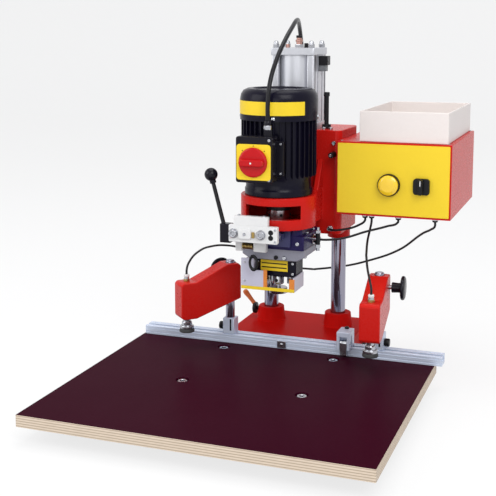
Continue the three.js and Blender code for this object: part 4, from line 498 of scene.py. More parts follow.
orange = finish_of("orange plastic", (0.72, 0.17, 0.03), (0.6, 0.13, 0.02), 0.35, 0.1, 500, 0.08)
dark_steel = finish_of(
    "blackened steel", (0.016, 0.016, 0.018), (0.01, 0.01, 0.012), 0.34, 0.15, 500, 0.1,
    Specular_IOR_Level=0.2,
)
LEVER_AT = (0, 150, 34)
bm = bmesh.new()
turned(
    bm,
    [
        (0, 88), (4, 88), (4, 105), (9, 105), (11.4, 105.8), (12, 107.2), (12, 110.8), (11, 112.3),
        (8, 113), (0, 113),
    ],
    LEVER_AT, (-1, 0, 0), 40, index=1,
)
turned(
    bm, [(0, 0), (4.6, 0), (4.3, 12), (5, 24), (5.9, 32), (5.4, 37), (3.2, 39.6), (0, 40)],
    (-108.7, 150, 40), (-0.646, 0, 0.763), 24,
)
piece(
    "column_clamp_lever", settled(bm), [orange, dark_steel], "column_lever", "column_lever",
)


# Columns, bridge and piston rod. Two hard-chromed round bars are joined at the top by a steel
# bridge, which also holds the piston rod: the air cylinder pulls the head down against it.
# The chrome's base colour is darkened and tinted blue-grey to stand for the dark surroundings that the real
# bars reflect: a painted dark reflection, not the metal's own colour.
chrome_painted_dark = finish_of(
    "hard chrome", (0.33, 0.32, 0.39), (0.28, 0.27, 0.34), 0.1, 0.05, 300, 0.02, (1, 1, 0.05), Metallic=1.0,
)
for side, x in (("left", -72.7), ("right", 72.7)):
    bm = bmesh.new()
    turned(
        bm,
        [(0, -9.7), (15, -9.7), (15, 246.6), (13.6, 248), (8, 248), (8, 266.6), (0, 266.6)],
        (x, 150, 0),
        steps=72,
    )
    turned(
        bm, [(0, 266.6), (12, 266.6), (13, 267.4), (13, 275.4), (12, 276.6), (0, 276.6)], (x, 150, 0),
        steps=6,
    )
    piece("column_bar_" + side, settled(bm), chrome_painted_dark, "base", "column_" + side)
piece("column_tie", softened("column_bridge", 1.2), bright_steel, "base", "column_bridge")
bm = bmesh.new()
turned(
    bm,
    [
        (0, 239), (12, 239), (12, 248), (8, 248), (8, 266.6), (12, 266.6), (12, 275.6), (8, 275.6),
        (8, 442), (35.5, 442), (35.5, 455), (0, 455),
    ],
    (0, 102, 0),
    steps=56,
)
piece("piston_bar", settled(bm), chrome_painted_dark, "base", "piston_rod")


# Head casting. One red enamelled casting: hollow body, two guide bosses round the columns, and in
# front the open lantern ring that carries the motor. Two sloping cheeks stiffen it under the motor.
bm = softened("head_casting", 1.6, 3)
piece("head_body", bm, red_enamel, "head", "head_casting")

bm = bmesh.new()
for sign in (-1, 1):
    x0, x1 = sorted((sign * 62, sign * 52))
    drawn(bm, [(63, 372), (30, 313.5), (63, 313.5)], "x", x0, x1)
eased(bm, 1.5, 3)
piece("head_cheeks", settled(bm), red_enamel, "head")


def cap_screw(bm, at, way, radius=4, height=4, index=0):
    socket = radius * 0.5
    turned(
        bm,
        [
            (0, height * 0.45), (socket, height * 0.45), (socket, height * 0.95), (socket * 1.12, height),
            (radius * 0.88, height), (radius, height * 0.85), (radius, 0), (0, 0),
        ],
        at,
        way,
        24,
        index=index,
    )


bm = bmesh.new()
for x in (-72, -58, 58, 72):
    cap_screw(bm, (x, 82, 428), (0, 0, 1), 4, 4.5)
cap_screw(bm, (84, 64, 404), TO_FRONT, 4.2, 5)
piece("head_screws", settled(bm), bright_steel, "head")

black_plastic = finish_of(
    "black plastic", (0.006, 0.006, 0.008), (0.01, 0.01, 0.012), 0.32, 0.12, 900, 0.1,
    Specular_IOR_Level=0.18,
)
bm = bmesh.new()
turned(bm, [(0, 0), (5.5, 0), (5.5, 22), (5, 23), (0, 23)], (84, 63, 382), TO_FRONT, 28)
turned(bm, [(0, 23), (3, 23), (3, 27), (2.4, 28), (0, 28)], (84, 63, 382), TO_FRONT, 20, index=1)
piece("head_clamp_screw", settled(bm), [black_plastic, bright_steel], "head")


# Motor. A ribbed housing, painted glossy blue-black, with a bolted flange; a pressed cowl covers
# the fan, with a slotted grille in its top (its slots painted as dark sheets of shade) and a bare
# yellow band round its front.
motor_paint = finish_of(
    "motor paint", (0.0035, 0.003, 0.01), (0.006, 0.005, 0.014), 0.25, 0.12, 420, 0.12,
    Specular_IOR_Level=0.14,
)
yellow = finish_of(
    "yellow panel", (0.86, 0.62, 0.025), (0.8, 0.56, 0.02), 0.4, 0.08, 240, 0.04, Specular_IOR_Level=0.25,
)
MOTOR_AXIS = (0, -22.5, 0)
RIBS, GRILLE_SLOTS, COWL_SCREWS = 36, 12, 4
RIB_HALF_WIDTH = 0.9
bm = bmesh.new()
turned(
    bm,
    [
        (0, 314.3), (63.5, 314.3), (64.5, 315.3), (64.5, 325), (63.9, 326.3), (62.5, 328.5), (62.5, 346),
        (65.2, 350), (65.2, 464), (0, 464),
    ],
    MOTOR_AXIS, steps=96,
)
rib = drawn(
    bm, [(64.5, 350), (69.6, 350), (71.2, 353), (71.2, 456), (70, 459), (64.5, 460)], "y", -RIB_HALF_WIDTH,
    RIB_HALF_WIDTH,
)
eased(bm, 0.45, 2, 30, rib)
rib_faces = [f for f in bm.faces if all(abs(v.co.y) < 1.2 and v.co.x > 60 for v in f.verts)]
rib_edges = list({e for f in rib_faces for e in f.edges})
rib_verts = list({v for f in rib_faces for v in f.verts})
for step in range(1, RIBS):
    copied = bmesh.ops.duplicate(bm, geom=rib_faces + rib_edges + rib_verts)
    verts = [g for g in copied["geom"] if isinstance(g, bmesh.types.BMVert)]
    turn = Matrix.Rotation(step * 2 * math.pi / RIBS, 3, "Z")
    bmesh.ops.rotate(bm, verts=verts, cent=(0, 0, 0), matrix=turn)
    bmesh.ops.translate(bm, verts=verts, vec=MOTOR_AXIS)
bmesh.ops.translate(bm, verts=rib_verts, vec=MOTOR_AXIS)
piece("motor_body", settled(bm), motor_paint, "head", "motor_housing")

bm = bmesh.new()
turned(
    bm,
    [
        (0, 508.6), (47.5, 508.6), (49.5, 511.4), (59, 512), (66, 508.5), (70, 502), (71.5, 494),
        (71.5, 456), (73.5, 456), (73.5, 494.5), (71.8, 503.4), (67.4, 510.4), (59.5, 514), (50, 514),
        (48, 511.2), (0, 510.6),
    ],
    MOTOR_AXIS, steps=96,
)
piece("motor_cowl", settled(bm), motor_paint, "head", "fan_cowl")

# The grille's slots are thin black sheets laid on the cowl's top instead of openings: painted shade for the
# dark space under the cowl that shows through real slots.
bm = bmesh.new()
for step in range(GRILLE_SLOTS):
    made = drawn(bm, [(20, -2.2), (44, -3.4), (45.5, 0), (44, 3.4), (20, 2.2)], "z", 510.7, 511.1)
    turn = Matrix.Rotation(step * 2 * math.pi / GRILLE_SLOTS, 3, "Z")
    bmesh.ops.rotate(bm, verts=made, cent=(0, 0, 0), matrix=turn)
    bmesh.ops.translate(bm, verts=made, vec=MOTOR_AXIS)
piece("cowl_slot_shade_sheets", settled(bm), black_plastic, "head")

bm = bmesh.new()
for step in range(COWL_SCREWS):
    turn = math.radians(step * 360 / COWL_SCREWS + 10)
    way = Vector((math.cos(turn), math.sin(turn), 0))
    at = Vector(MOTOR_AXIS) + way * 73.4 + Vector((0, 0, 461))
    turned(bm, [(0, 1.8), (2, 1.8), (3.4, 0.9), (3.6, 0), (0, 0)], at, way, 20)
piece("cowl_screws", settled(bm), bright_steel, "head")

BAND_START, BAND_SWEEP = math.radians(-164), math.radians(132)
bm = bmesh.new()
made = turned(
    bm, [(73.5, 467), (73.9, 467), (73.9, 492), (73.5, 492)], (0, 0, 0), steps=56, angle=BAND_SWEEP,
)
bmesh.ops.rotate(bm, verts=made, cent=(0, 0, 0), matrix=Matrix.Rotation(BAND_START, 3, "Z"))
bmesh.ops.translate(bm, verts=made, vec=MOTOR_AXIS)
piece("cowl_band", settled(bm), yellow, "head")


# Main switch. A moulded black box in two halves on the motor, with a yellow plate and a red turning
# knob on its lid. The terminal cover shows beside it, and the motor cable leaves by a gland on top.
CORNER_STEPS = 6


def slab(bm, x, y, z, axis="z", corner=0.0, ease=0.6, index=0):
    """A block between two limits on each axis. One axis has rounded corners, and all edges are eased."""
    known = set(bm.verts)
    spans = {"x": x, "y": y, "z": z}
    (u0, u1), (v0, v1) = (span for name, span in spans.items() if name != axis)
    drawn(bm, [(u0, v0), (u1, v0), (u1, v1), (u0, v1)], axis, *spans[axis], index)
    if corner:
        way = "xyz".index(axis)
        along = [
            e
            for e in bm.edges
            if e.verts[0] not in known and abs((e.verts[0].co - e.verts[1].co)[way]) > 0.001
        ]
        rounded(bm, along, corner, CORNER_STEPS)
    if ease:
        eased(bm, ease, 2, 30, [v for v in bm.verts if v not in known])
    return [v for v in bm.verts if v not in known]


switch_black = finish_of(
    "switch black", (0.005, 0.0045, 0.009), (0.009, 0.008, 0.013), 0.24, 0.12, 700, 0.1,
    Specular_IOR_Level=0.18,
)
red_plastic = finish_of(
    "red plastic", (0.5, 0.004, 0.007), (0.44, 0.003, 0.006), 0.24, 0.08, 500, 0.04, Specular_IOR_Level=0.25
)
white_paint = finish_of(
    "white paint", (0.78, 0.78, 0.77), (0.7, 0.7, 0.7), 0.34, 0.1, 320, 0.08, Coat_Weight=0.2,
)
SWITCH_MIDDLE = (-11, 386)
SWITCH_AT = (SWITCH_MIDDLE[0], 0, SWITCH_MIDDLE[1])
MARK_CIRCLE = 29.6
GLAND_AT = (8.4, -112, 0)
bm = bmesh.new()
slab(bm, (-46, 24), (-132, -113.4), (348, 432), "y", 4.5, 1.4)
slab(bm, (-45.4, 23.4), (-113.4, -94), (348.6, 431.4), "y", 4, 0.4)
slab(bm, (20, 36), (-103, -94), (358, 422), "y", 3, 1)
turned(bm, [(0, 431), (8, 431), (8, 443), (7.2, 444), (0, 444)], GLAND_AT, steps=6)
turned(bm, [(0, 451), (6.6, 451), (7, 452), (6.4, 458), (5, 460), (0, 460)], GLAND_AT, steps=32)
turned(
    bm, [(0, 443.5), (7, 443.5), (7.4, 444.4), (7.4, 450.6), (6.6, 451.4), (0, 451.4)], GLAND_AT, steps=32,
    index=1,
)
for x in (-40, 18):
    for z in (354, 426):
        cap_screw(bm, (x, -132, z), TO_FRONT, 2.6, 1.2, 1 if x > 0 else 0)
for z in (363, 417):
    cap_screw(bm, (30, -103, z), TO_FRONT, 2.2, 1.4, 1)
piece("switch_case", settled(bm), [switch_black, bright_steel], "head", "switch_box")

bm = bmesh.new()
slab(bm, (-43.5, 21.5), (-134.8, -132.3), (353.5, 418.5), "y", 6, 0.5)
for turn in (45, 90, 135):
    across, up = MARK_CIRCLE * math.cos(math.radians(turn)), MARK_CIRCLE * math.sin(math.radians(turn))
    at = (SWITCH_MIDDLE[0] + across, -134.7, SWITCH_MIDDLE[1] + up)
    turned(bm, [(0, 0.25), (0.9, 0.25), (1.1, 0.1), (1.1, -0.2), (0, -0.2)], at, TO_FRONT, 16, index=1)
piece("switch_front", settled(bm), [yellow, switch_black], "head", "switch_plate")

bm = bmesh.new()
turned(
    bm,
    [
        (0, 135.1), (26.4, 135.1), (27, 135.8), (27, 138.6), (26, 140.4), (23.5, 141.3), (12, 141.8),
        (0, 142),
    ],
    SWITCH_AT, TO_FRONT, 72,
)
slab(bm, (-34.4, 12.4), (-150.6, -141), (379.6, 392.4), "y", 5.6, 2)
turned(bm, [(0, 151), (1.5, 151), (1.8, 150.6), (1.8, 150), (0, 150)], SWITCH_AT, TO_FRONT, 20, index=1)
piece(
    "switch_knob", settled(bm), [red_plastic, white_paint], "main_switch", "main_switch_knob",
)


# Air cylinder. An aluminium profile barrel between a base cap and a square top cap, clamped by four
# nuts, with a copper-coloured fitting in the middle. A black valve and the depth stop rod are beside it.
copper = finish_of(
    "copper fitting", (0.56, 0.33, 0.28), (0.38, 0.21, 0.18), 0.34, 0.14, 500, 0.1, Metallic=0.9,
)
bare_aluminium = finish_of(
    "bare aluminium", (0.62, 0.63, 0.67), (0.53, 0.54, 0.58), 0.34, 0.12, 400, 0.08, (1, 1, 0.05),
    Metallic=0.6,
)
CYLINDER_AT = (0, 102, 0)
bm = bmesh.new()
slab(bm, (-45, 45), (57, 147), (416.3, 441.3), "z", 4, 0.8)
turned(bm, [(0, 441), (41, 441), (41, 572.7), (0, 572.7)], CYLINDER_AT, steps=96)
for sx in (-1, 1):
    for sy in (-1, 1):
        slab(
            bm, sorted((sx * 29, sx * 43)), sorted((102 + sy * 29, 102 + sy * 43)), (441, 572.7), "z", 2.5,
            0.3,
        )
    flat, dip = sx * 43, sx * 41
    wall = [
        (flat, 66), (flat, 85), (dip, 85), (dip, 90), (flat, 90), (flat, 114), (dip, 114), (dip, 119),
        (flat, 119),
    ]
    drawn(bm, wall + [(flat, 138), (sx * 39, 138), (sx * 39, 66)], "z", 441, 572.7)
piece("cylinder_body", settled(bm), bare_aluminium, "head", "cylinder_barrel")

bm = bmesh.new()
slab(bm, (-45, 45), (57, 147), (573, 587), "z", 4, 0.9)
for x in (-36, 36):
    for y in (66, 138):
        turned(
            bm, [(0, 586.8), (6.5, 586.8), (6.5, 593.5), (5.6, 594.6), (0, 594.6)], (x, y, 0), steps=6,
            index=1,
        )
        turned(
            bm, [(0, 594), (5, 594), (4.9, 597), (3.8, 599.8), (2, 600.8), (0, 601)], (x, y, 0), steps=24,
            index=1,
        )
turned(bm, [(0, 586.8), (9, 586.8), (9, 592.4), (8, 593.4), (0, 593.4)], CYLINDER_AT, steps=6, index=1)
turned(
    bm,
    [(0, 593), (6, 593), (6, 598), (7.4, 598.6), (7.4, 602), (5.4, 603), (5.4, 606.5), (0, 606.5)],
    CYLINDER_AT,
    steps=32,
    index=2,
)
turned(
    bm, [(0, 606), (5.8, 606), (6.2, 607), (6.2, 610), (5.2, 611), (0, 611)], CYLINDER_AT, steps=28,
    index=3,
)
for x, height in ((-18, 594), (20, 596)):
    turned(
        bm, [(0, 586.8), (4, 586.8), (4, height - 1), (3.2, height), (0, height)], (x, 84, 0), steps=24,
        index=2 if x < 0 else 3,
    )
piece(
    "cylinder_top", settled(bm), [bare_aluminium, bright_steel, copper, black_plastic], "head",
    "cylinder_cap",
)

grey_plastic = finish_of("grey plastic", (0.16, 0.17, 0.18), (0.12, 0.13, 0.14), 0.42, 0.12, 600, 0.1)
bm = bmesh.new()
slab(bm, (43.3, 61.3), (91, 113), (553, 571), "z", 1.5, 0.8)
slab(bm, (43.3, 57), (93, 111), (541, 553), "z", 1.5, 0.6, 1)
cap_screw(bm, (61.3, 96, 562), TO_RIGHT, 2, 1, 1)
piece("valve", settled(bm), [black_plastic, grey_plastic], "head", "valve_block")

bm = bmesh.new()
turned(
    bm,
    [
        (0, 377.6), (3.9, 377.6), (4.5, 378.4), (4.5, 428.3), (9, 428.3), (9, 436.3), (4.5, 436.3),
        (4.5, 492), (6, 492), (6, 499), (5, 500), (0, 500),
    ],
    (57.6, 102, 0), steps=32,
)
piece("stop_rod", settled(bm), dark_steel, "head", "depth_stop_rod")


# Carrier, adapter and gear head. Under the ring hangs a dark blue machined block, then a grey
# casting, then the black gear case with the three spindles. Screws hold them together, and a yellow
# plate with two plain black bars is on the gear case.
carrier_blue = finish_of(
    "carrier blue", (0.014, 0.009, 0.06), (0.02, 0.014, 0.075), 0.28, 0.12, 420, 0.1,
    Specular_IOR_Level=0.12,
)
cast_grey = finish_of(
    "cast grey", (0.31, 0.31, 0.37), (0.23, 0.23, 0.28), 0.48, 0.16, 520, 0.5, Metallic=0.4,
)
bm = bmesh.new()
slab(bm, (-62, 62), (-62, 48), (213, 240), "z", 3, 1.2)
slab(bm, (-56, 56), (-61.7, 42), (239, 253.2), "z", 14, 0.5)
cap_screw(bm, (50, -62, 226), TO_FRONT, 3.6, 1.6, 1)
cap_screw(bm, (56, -20, 240), (0, 0, 1), 3.6, 3, 1)
cap_screw(bm, (56, 20, 240), (0, 0, 1), 3.6, 3, 1)
piece("carrier", settled(bm), [carrier_blue, bright_steel], "head", "carrier_block")

piece("adapter", softened("adapter_casting", 1.4, 3), cast_grey, "head", "adapter_casting")
bm = bmesh.new()
cap_screw(bm, (6, -55, 196), TO_FRONT, 4, 3)
turned(bm, [(0, 0), (4.4, 0), (4.4, 3.4), (3.6, 4), (0, 4)], (22.6, -55, 196), TO_FRONT, 6, index=1)
for x in (-50, 50):
    turned(
        bm, [(0, 0), (4.2, 0), (4.2, 4.6), (3.4, 5.4), (0, 5.4)], (x, -14, 194.5), (0, 0, -1), 6, index=1,
    )
piece("adapter_screws", settled(bm), [dark_steel, bright_steel], "head")

piece("gear_case", softened("gear_head", 1.3, 3), motor_paint, "head", "gear_head")
bm = bmesh.new()
for x in (-35, 35):
    for z in (163, 183):
        cap_screw(bm, (x, -42, z), TO_FRONT, 2.6, 1.8)
piece("gear_case_screws", settled(bm), bright_steel, "head")
bm = bmesh.new()
slab(bm, (-29, 25), (-42.9, -41.5), (166.5, 187.5), "y", 1, 0.2)
for z in (173.2, 181):
    slab(bm, (-27, 23), (-43.1, -42.6), (z - 1.1, z + 1.1), "y", 0, 0, 1)
piece("gear_case_plate", settled(bm), [yellow, black_plastic], "head")


# Fittings. Push-in connectors with black release rings take the air hoses: one on the carrier with
# a knurled flow screw and a branch beside it, one on the right boss, and four under the control box.
bm = bmesh.new()
AIR_PORT = (62, 0, 225)
turned(bm, [(0, 0.05), (9.5, 0.05), (10, 0.7), (10, 2.4), (9.2, 3), (0, 3)], AIR_PORT, TO_RIGHT, 40)
turned(
    bm, [(0, 2.5), (7, 2.5), (7.4, 3.5), (7.4, 10), (6.6, 11), (2.4, 11), (2.4, 9), (0, 9)], AIR_PORT,
    TO_RIGHT, 18, index=1,
)
turned(
    bm, [(2.4, 10.5), (5, 10.5), (5.4, 11.3), (5.4, 14.4), (4.6, 15.2), (2.4, 15.2), (2.4, 10.5)], AIR_PORT,
    TO_RIGHT, 32,
)
turned(bm, [(0, 0.05), (3.4, 0.05), (3.4, 14), (0, 14)], (62, -18, 230), TO_RIGHT, 24)
for low, high, radius, sides, index in (
    (207, 213, 3.6, 24, 0), (213, 219, 5.2, 6, 0), (219, 241, 4.4, 32, 1), (241, 246, 5.2, 6, 0),
    (246, 252, 2.8, 24, 0),
):
    turned(bm, [(0, low), (radius, low), (radius, high), (0, high)], (77, -18, 0), steps=sides, index=index)
BOSS_PORT = (80, 57, 236)
turned(bm, [(0, -1.5), (6.2, -1.5), (6.2, 2), (5.4, 2.6), (0, 2.6)], BOSS_PORT, TO_FRONT, 6)
turned(bm, [(2.4, 2), (4.8, 2), (4.8, 6), (4, 6.8), (2.4, 6.8), (2.4, 2)], BOSS_PORT, TO_FRONT, 28)
for x in (150, 163, 215, 285):
    turned(
        bm, [(2.4, 262.4), (4.6, 262.4), (5.2, 263.2), (5.2, 266), (2.4, 266), (2.4, 262.4)], (x, 55, 0),
        steps=28, index=1,
    )
    turned(bm, [(0, 265.8), (6.4, 265.8), (6.4, 270.8), (0, 270.8)], (x, 55, 0), steps=6)
piece("air_fittings", settled(bm), [bright_steel, black_plastic], "head")


# Guard. Pale plastic panels, fixed to the gear case, keep hands off the bits. The front has
# a stepped panel on the left and an opening between two orange bars, and its lower edge is yellow.
guard_pale = finish_of(
    "guard plastic", (0.56, 0.55, 0.66), (0.5, 0.49, 0.6), 0.3, 0.1, 260, 0.05, Coat_Weight=0.2,
)
guard_orange = finish_of("guard orange", (0.78, 0.25, 0.03), (0.7, 0.21, 0.025), 0.36, 0.1, 400, 0.05)
bm = bmesh.new()
slab(bm, (-62, -36), (-62, -59), (138, 192), "y", 1.5, 0.7)
slab(bm, (-40, -17), (-61.9, -59.1), (138, 170), "y", 1.5, 0.6)
slab(bm, (-62, -59), (-60, -1), (132, 186), "x", 1.5, 0.7)
slab(bm, (41.3, 44.3), (-60, -1), (132, 160), "x", 1.5, 0.7)
slab(bm, (-59.3, -41.3), (-34, -10), (156, 186), "z", 0.5, 0.4)
slab(bm, (-17.2, -10), (-61.8, -59.2), (138, 172), "y", 0.5, 0.4, 1)
slab(bm, (34.3, 44.3), (-61.8, -59.2), (138, 157), "y", 0.5, 0.4, 1)
slab(bm, (-62, 44.3), (-62, -59), (132, 138.2), "y", 0.6, 0.5, 2)
for z in (148, 184):
    cap_screw(bm, (-55, -62, z), TO_FRONT, 2.2, 1, 3)
piece(
    "guard_panels", settled(bm), [guard_pale, guard_orange, yellow, bright_steel], "head", "guard",
)


# Insertion tool, fixed part. A slate-coloured bracket on the carrier has two lugs for the pivot and
# two white jaws in which the hinge lies, with a brass spring between them and a dark wire loop below.
def coiled(bm, radius, wire, turns, rise, steps, index=0):
    """A wire turned about the x axis, climbing along it: a spring, or one open ring."""
    known = set(bm.faces)
    ring = bmesh.ops.create_circle(bm, cap_ends=False, radius=wire, segments=10)["verts"]
    bmesh.ops.translate(bm, verts=ring, vec=(0, 0, radius))
    bmesh.ops.rotate(bm, verts=ring, cent=(0, 0, radius), matrix=Matrix.Rotation(math.pi / 2, 3, "X"))
    wound = set(ring)
    before = set(bm.verts)
    bmesh.ops.spin(
        bm,
        geom=ring + list({e for v in ring for e in v.link_edges}),
        cent=(0, 0, 0),
        axis=(1, 0, 0),
        dvec=(rise / steps, 0, 0),
        angle=2 * math.pi * turns,
        steps=steps,
    )
    wound |= set(bm.verts) - before
    ends = [e for e in bm.edges if len(e.link_faces) == 1 and e.verts[0] in wound]
    bmesh.ops.holes_fill(bm, edges=ends, sides=0)
    for face in set(bm.faces) - known:
        face.material_index = index
        face.smooth = len(face.verts) == 4
    return list(wound)


slate = finish_of(
    "slate paint", (0.045, 0.045, 0.13), (0.035, 0.035, 0.1), 0.34, 0.12, 420, 0.12, Specular_IOR_Level=0.3,
)
brass = finish_of("brass", (0.5, 0.36, 0.13), (0.3, 0.2, 0.07), 0.32, 0.16, 500, 0.1, Metallic=1.0)
PIVOT = (0, -96, 244)
bm = bmesh.new()
slab(bm, (-66.5, 38), (-70.3, -62.3), (220, 252), "y", 2, 0.9)
for left in (-45, 8):
    turned(
        bm,
        [
            (4.2, left), (6.9, left), (7.5, left + 0.6), (7.5, left + 19.4), (6.9, left + 20),
            (4.2, left + 20), (4.2, left),
        ],
        PIVOT, TO_RIGHT, 40,
    )
    slab(bm, (left, left + 20), (-94, -70), (237, 247.7), "x", 0, 0.8)
slab(bm, (-66.5, -52.5), (-82.3, -70), (209.5, 233), "z", 3, 1.2, 1)
slab(bm, (-30.5, -4.5), (-82.3, -70), (209.5, 233), "z", 3, 1.2, 1)
made = coiled(bm, 5, 1.1, 7, 21, 112, 2)
bmesh.ops.translate(bm, verts=made, vec=(-52, -77, 219))
turned(bm, [(0, -53), (2.2, -53), (2.2, -30), (0, -30)], (0, -77, 219), TO_RIGHT, 20, index=3)
slab(bm, (-50, -33), (-81, -73), (226, 229), "z", 1, 0.5, 2)
made = coiled(bm, 9.4, 2.6, 0.93, 3, 40, 3)
bmesh.ops.rotate(bm, verts=made, cent=(0, 0, 0), matrix=Matrix.Rotation(math.radians(80), 3, "Z"))
bmesh.ops.scale(bm, verts=made, vec=(0.9, 1, 1.38))
bmesh.ops.translate(bm, verts=made, vec=(-32.3, -77, 187))
piece(
    "insertion_holder", settled(bm), [slate, white_paint, brass, dark_steel], "head", "insertion_support",
)


# Insertion tool, moving part. A white-painted plate with two large bolts and a boss hangs on the
# pivot, with a block on top. The black lever at its left end swings it down to press the hinge in.
bm = bmesh.new()
slab(bm, (-67, 28), (-114.3, -104.3), (233.5, 265.5), "y", 2, 0.9)
slab(bm, (-57, 9.6), (-114.3, -104.3), (265.1, 283), "y", 2, 0.9)
slab(bm, (-24.7, 7.7), (-104.6, -97), (237, 251), "x", 0, 0.8)
turned(bm, [(4.2, -24.7), (7.5, -24.7), (7.5, 7.7), (4.2, 7.7), (4.2, -24.7)], PIVOT, TO_RIGHT, 40)
for x in (-57.5, -3.7):
    turned(
        bm, [(0, 114), (8.9, 114), (9.3, 114.5), (9.3, 115.4), (8.8, 116), (0, 116)], (x, 0, 249.5),
        TO_FRONT, 40, index=1,
    )
    turned(
        bm,
        [
            (0, 118.5), (3.4, 118.5), (3.4, 120.6), (4, 121.3), (6.8, 121.3), (7.8, 120.2), (8, 118),
            (8, 115.5), (0, 115.5),
        ],
        (x, 0, 249.5), TO_FRONT, 36, index=1,
    )
slab(bm, (-47.5, -22), (-118.3, -114), (240, 259), "y", 5, 1.6)
turned(
    bm, [(0, 118), (3, 118), (3.2, 119), (2.6, 120), (0, 120.2)], (-34.7, 0, 249.5), TO_FRONT, 24, index=1,
)
slab(bm, (-20.8, -15.6), (-117.5, -114), (243, 254), "y", 1, 0.6, 2)
# A black figure-8 sheet, two thin discs with a bar between them, lies on the plate's front where the plate
# has a slot: painted shade for the slot's hollow, not a cut.
for z in (245, 255):
    turned(bm, [(0, 0.3), (4.8, 0.3), (4.8, 0), (0, 0)], (15.4, -114.3, z), TO_FRONT, 36, index=3)
slab(bm, (13.6, 17.2), (-114.5, -114.2), (248.6, 251.4), "y", 0, 0, 3)
cap_screw(bm, (24, -114.3, 238.5), TO_FRONT, 2.2, 1.2, 1)
cap_screw(bm, (24, -114.3, 260.5), TO_FRONT, 2.2, 1.2, 1)
for x in (-48, 1):
    cap_screw(bm, (x, -109.3, 283), (0, 0, 1), 2.8, 2.2, 1)
piece(
    "insertion_plate", settled(bm), [white_paint, bright_steel, brass, black_plastic], "insertion_tool",
    "insertion_bracket",
)

LEVER_ROOT, LEVER_TIP = Vector((-83.3, -96, 260.3)), Vector((-108.8, -96, 354.3))
LEVER_WAY = LEVER_TIP - LEVER_ROOT
BALL_RADIUS = 12.5
bm = bmesh.new()
slab(bm, (-88.3, -67.3), (-105, -87), (228, 264), "x", 2, 1)
turned(bm, [(0, -67.5), (3.9, -67.5), (3.9, 28), (3.3, 28.6), (0, 28.6)], PIVOT, TO_RIGHT, 32, index=1)
reach = LEVER_WAY.length
turned(bm, [(0, 0), (4, 0), (3.7, reach - 8), (3.7, reach), (0, reach)], LEVER_ROOT, LEVER_WAY, 28, index=2)
turned(
    bm, [(0, reach - 17), (5.4, reach - 17), (6, reach - 16), (6, reach - 9), (0, reach - 9)], LEVER_ROOT,
    LEVER_WAY, 28,
)
ball = [
    (BALL_RADIUS * math.sin(math.radians(turn)), -BALL_RADIUS * math.cos(math.radians(turn)))
    for turn in range(0, 190, 10)
]
turned(bm, ball, LEVER_TIP, LEVER_WAY, 48)
piece(
    "hand_lever", settled(bm), [switch_black, bright_steel, dark_steel], "insertion_tool",
    "insertion_lever",
)


# Spindles. The middle one is driven through the coupling, and the two beside it by its gear. Each has
# a chuck with a flat for its set screw; the middle bit bores the hinge cup, the others the screw holes.
def toothed(bm, at, root, tip, teeth, phase, low, high, index=0):
    outline = []
    for tooth in range(teeth):
        for radius, share in ((root, -0.25), (tip, -0.1), (tip, 0.1), (root, 0.25)):
            angle = 2 * math.pi * (tooth + phase + share) / teeth
            outline.append((at[0] + radius * math.cos(angle), at[1] + radius * math.sin(angle)))
    drawn(bm, outline, "z", low, high, index)


SCREW_X, SCREW_Y, TEETH = 22.5, -13.0, 16
SCREW_BEHIND = 9.5  # from the middle spindle to the row of the other two
CENTRES = math.hypot(SCREW_X, SCREW_BEHIND)
TOOTH_MODULE = CENTRES / TEETH
GEAR_TIP, GEAR_ROOT = CENTRES / 2 + 0.85 * TOOTH_MODULE, CENTRES / 2 - 1.15 * TOOTH_MODULE
GEAR_BOTTOM, GEAR_TOP = 166.3, 178.3
TOWARDS = math.atan2(SCREW_BEHIND, SCREW_X)
PITCH = 2 * math.pi / TEETH
bm = bmesh.new()
turned(
    bm,
    [
        (0, 117.5), (0.8, 119.4), (2, 120.6), (17, 120.6), (17.5, 121.4), (17.5, 130), (16.4, 131),
        (5, 131), (5, 137.8), (9.8, 137.8), (11, 139), (11, 153.6), (10.2, 154.8), (9, 154.8), (9, 264.7),
        (23, 264.7), (24, 265.7), (24, 283.7), (23, 284.7), (0, 284.7),
    ],
    MOTOR_AXIS, steps=56,
)
for turn in (0, 180):
    made = slab(bm, (12.5, 17.2), (-4, 4), (119.6, 121.6), "z", 0, 0.2)
    bmesh.ops.rotate(
        bm, verts=made, cent=(0, 0, 0), matrix=Matrix.Rotation(math.radians(turn + 25), 3, "Z"),
    )
    bmesh.ops.translate(bm, verts=made, vec=MOTOR_AXIS)
cap_screw(bm, (0, -33.2, 146), TO_FRONT, 3, 1.6, 1)
for turn in range(0, 360, 60):
    way = Vector((math.cos(math.radians(turn)), math.sin(math.radians(turn)), 0))
    at = Vector(MOTOR_AXIS) + way * 23.8 + Vector((0, 0, 274.7))
    cap_screw(bm, at, way, 2.8, 0.8, 1)
toothed(bm, MOTOR_AXIS, GEAR_ROOT, GEAR_TIP, TEETH, TOWARDS / PITCH, GEAR_BOTTOM, GEAR_TOP)
piece(
    "cup_spindle", settled(bm), [bright_steel, dark_steel], "main_spindle", "spindle_centre",
)

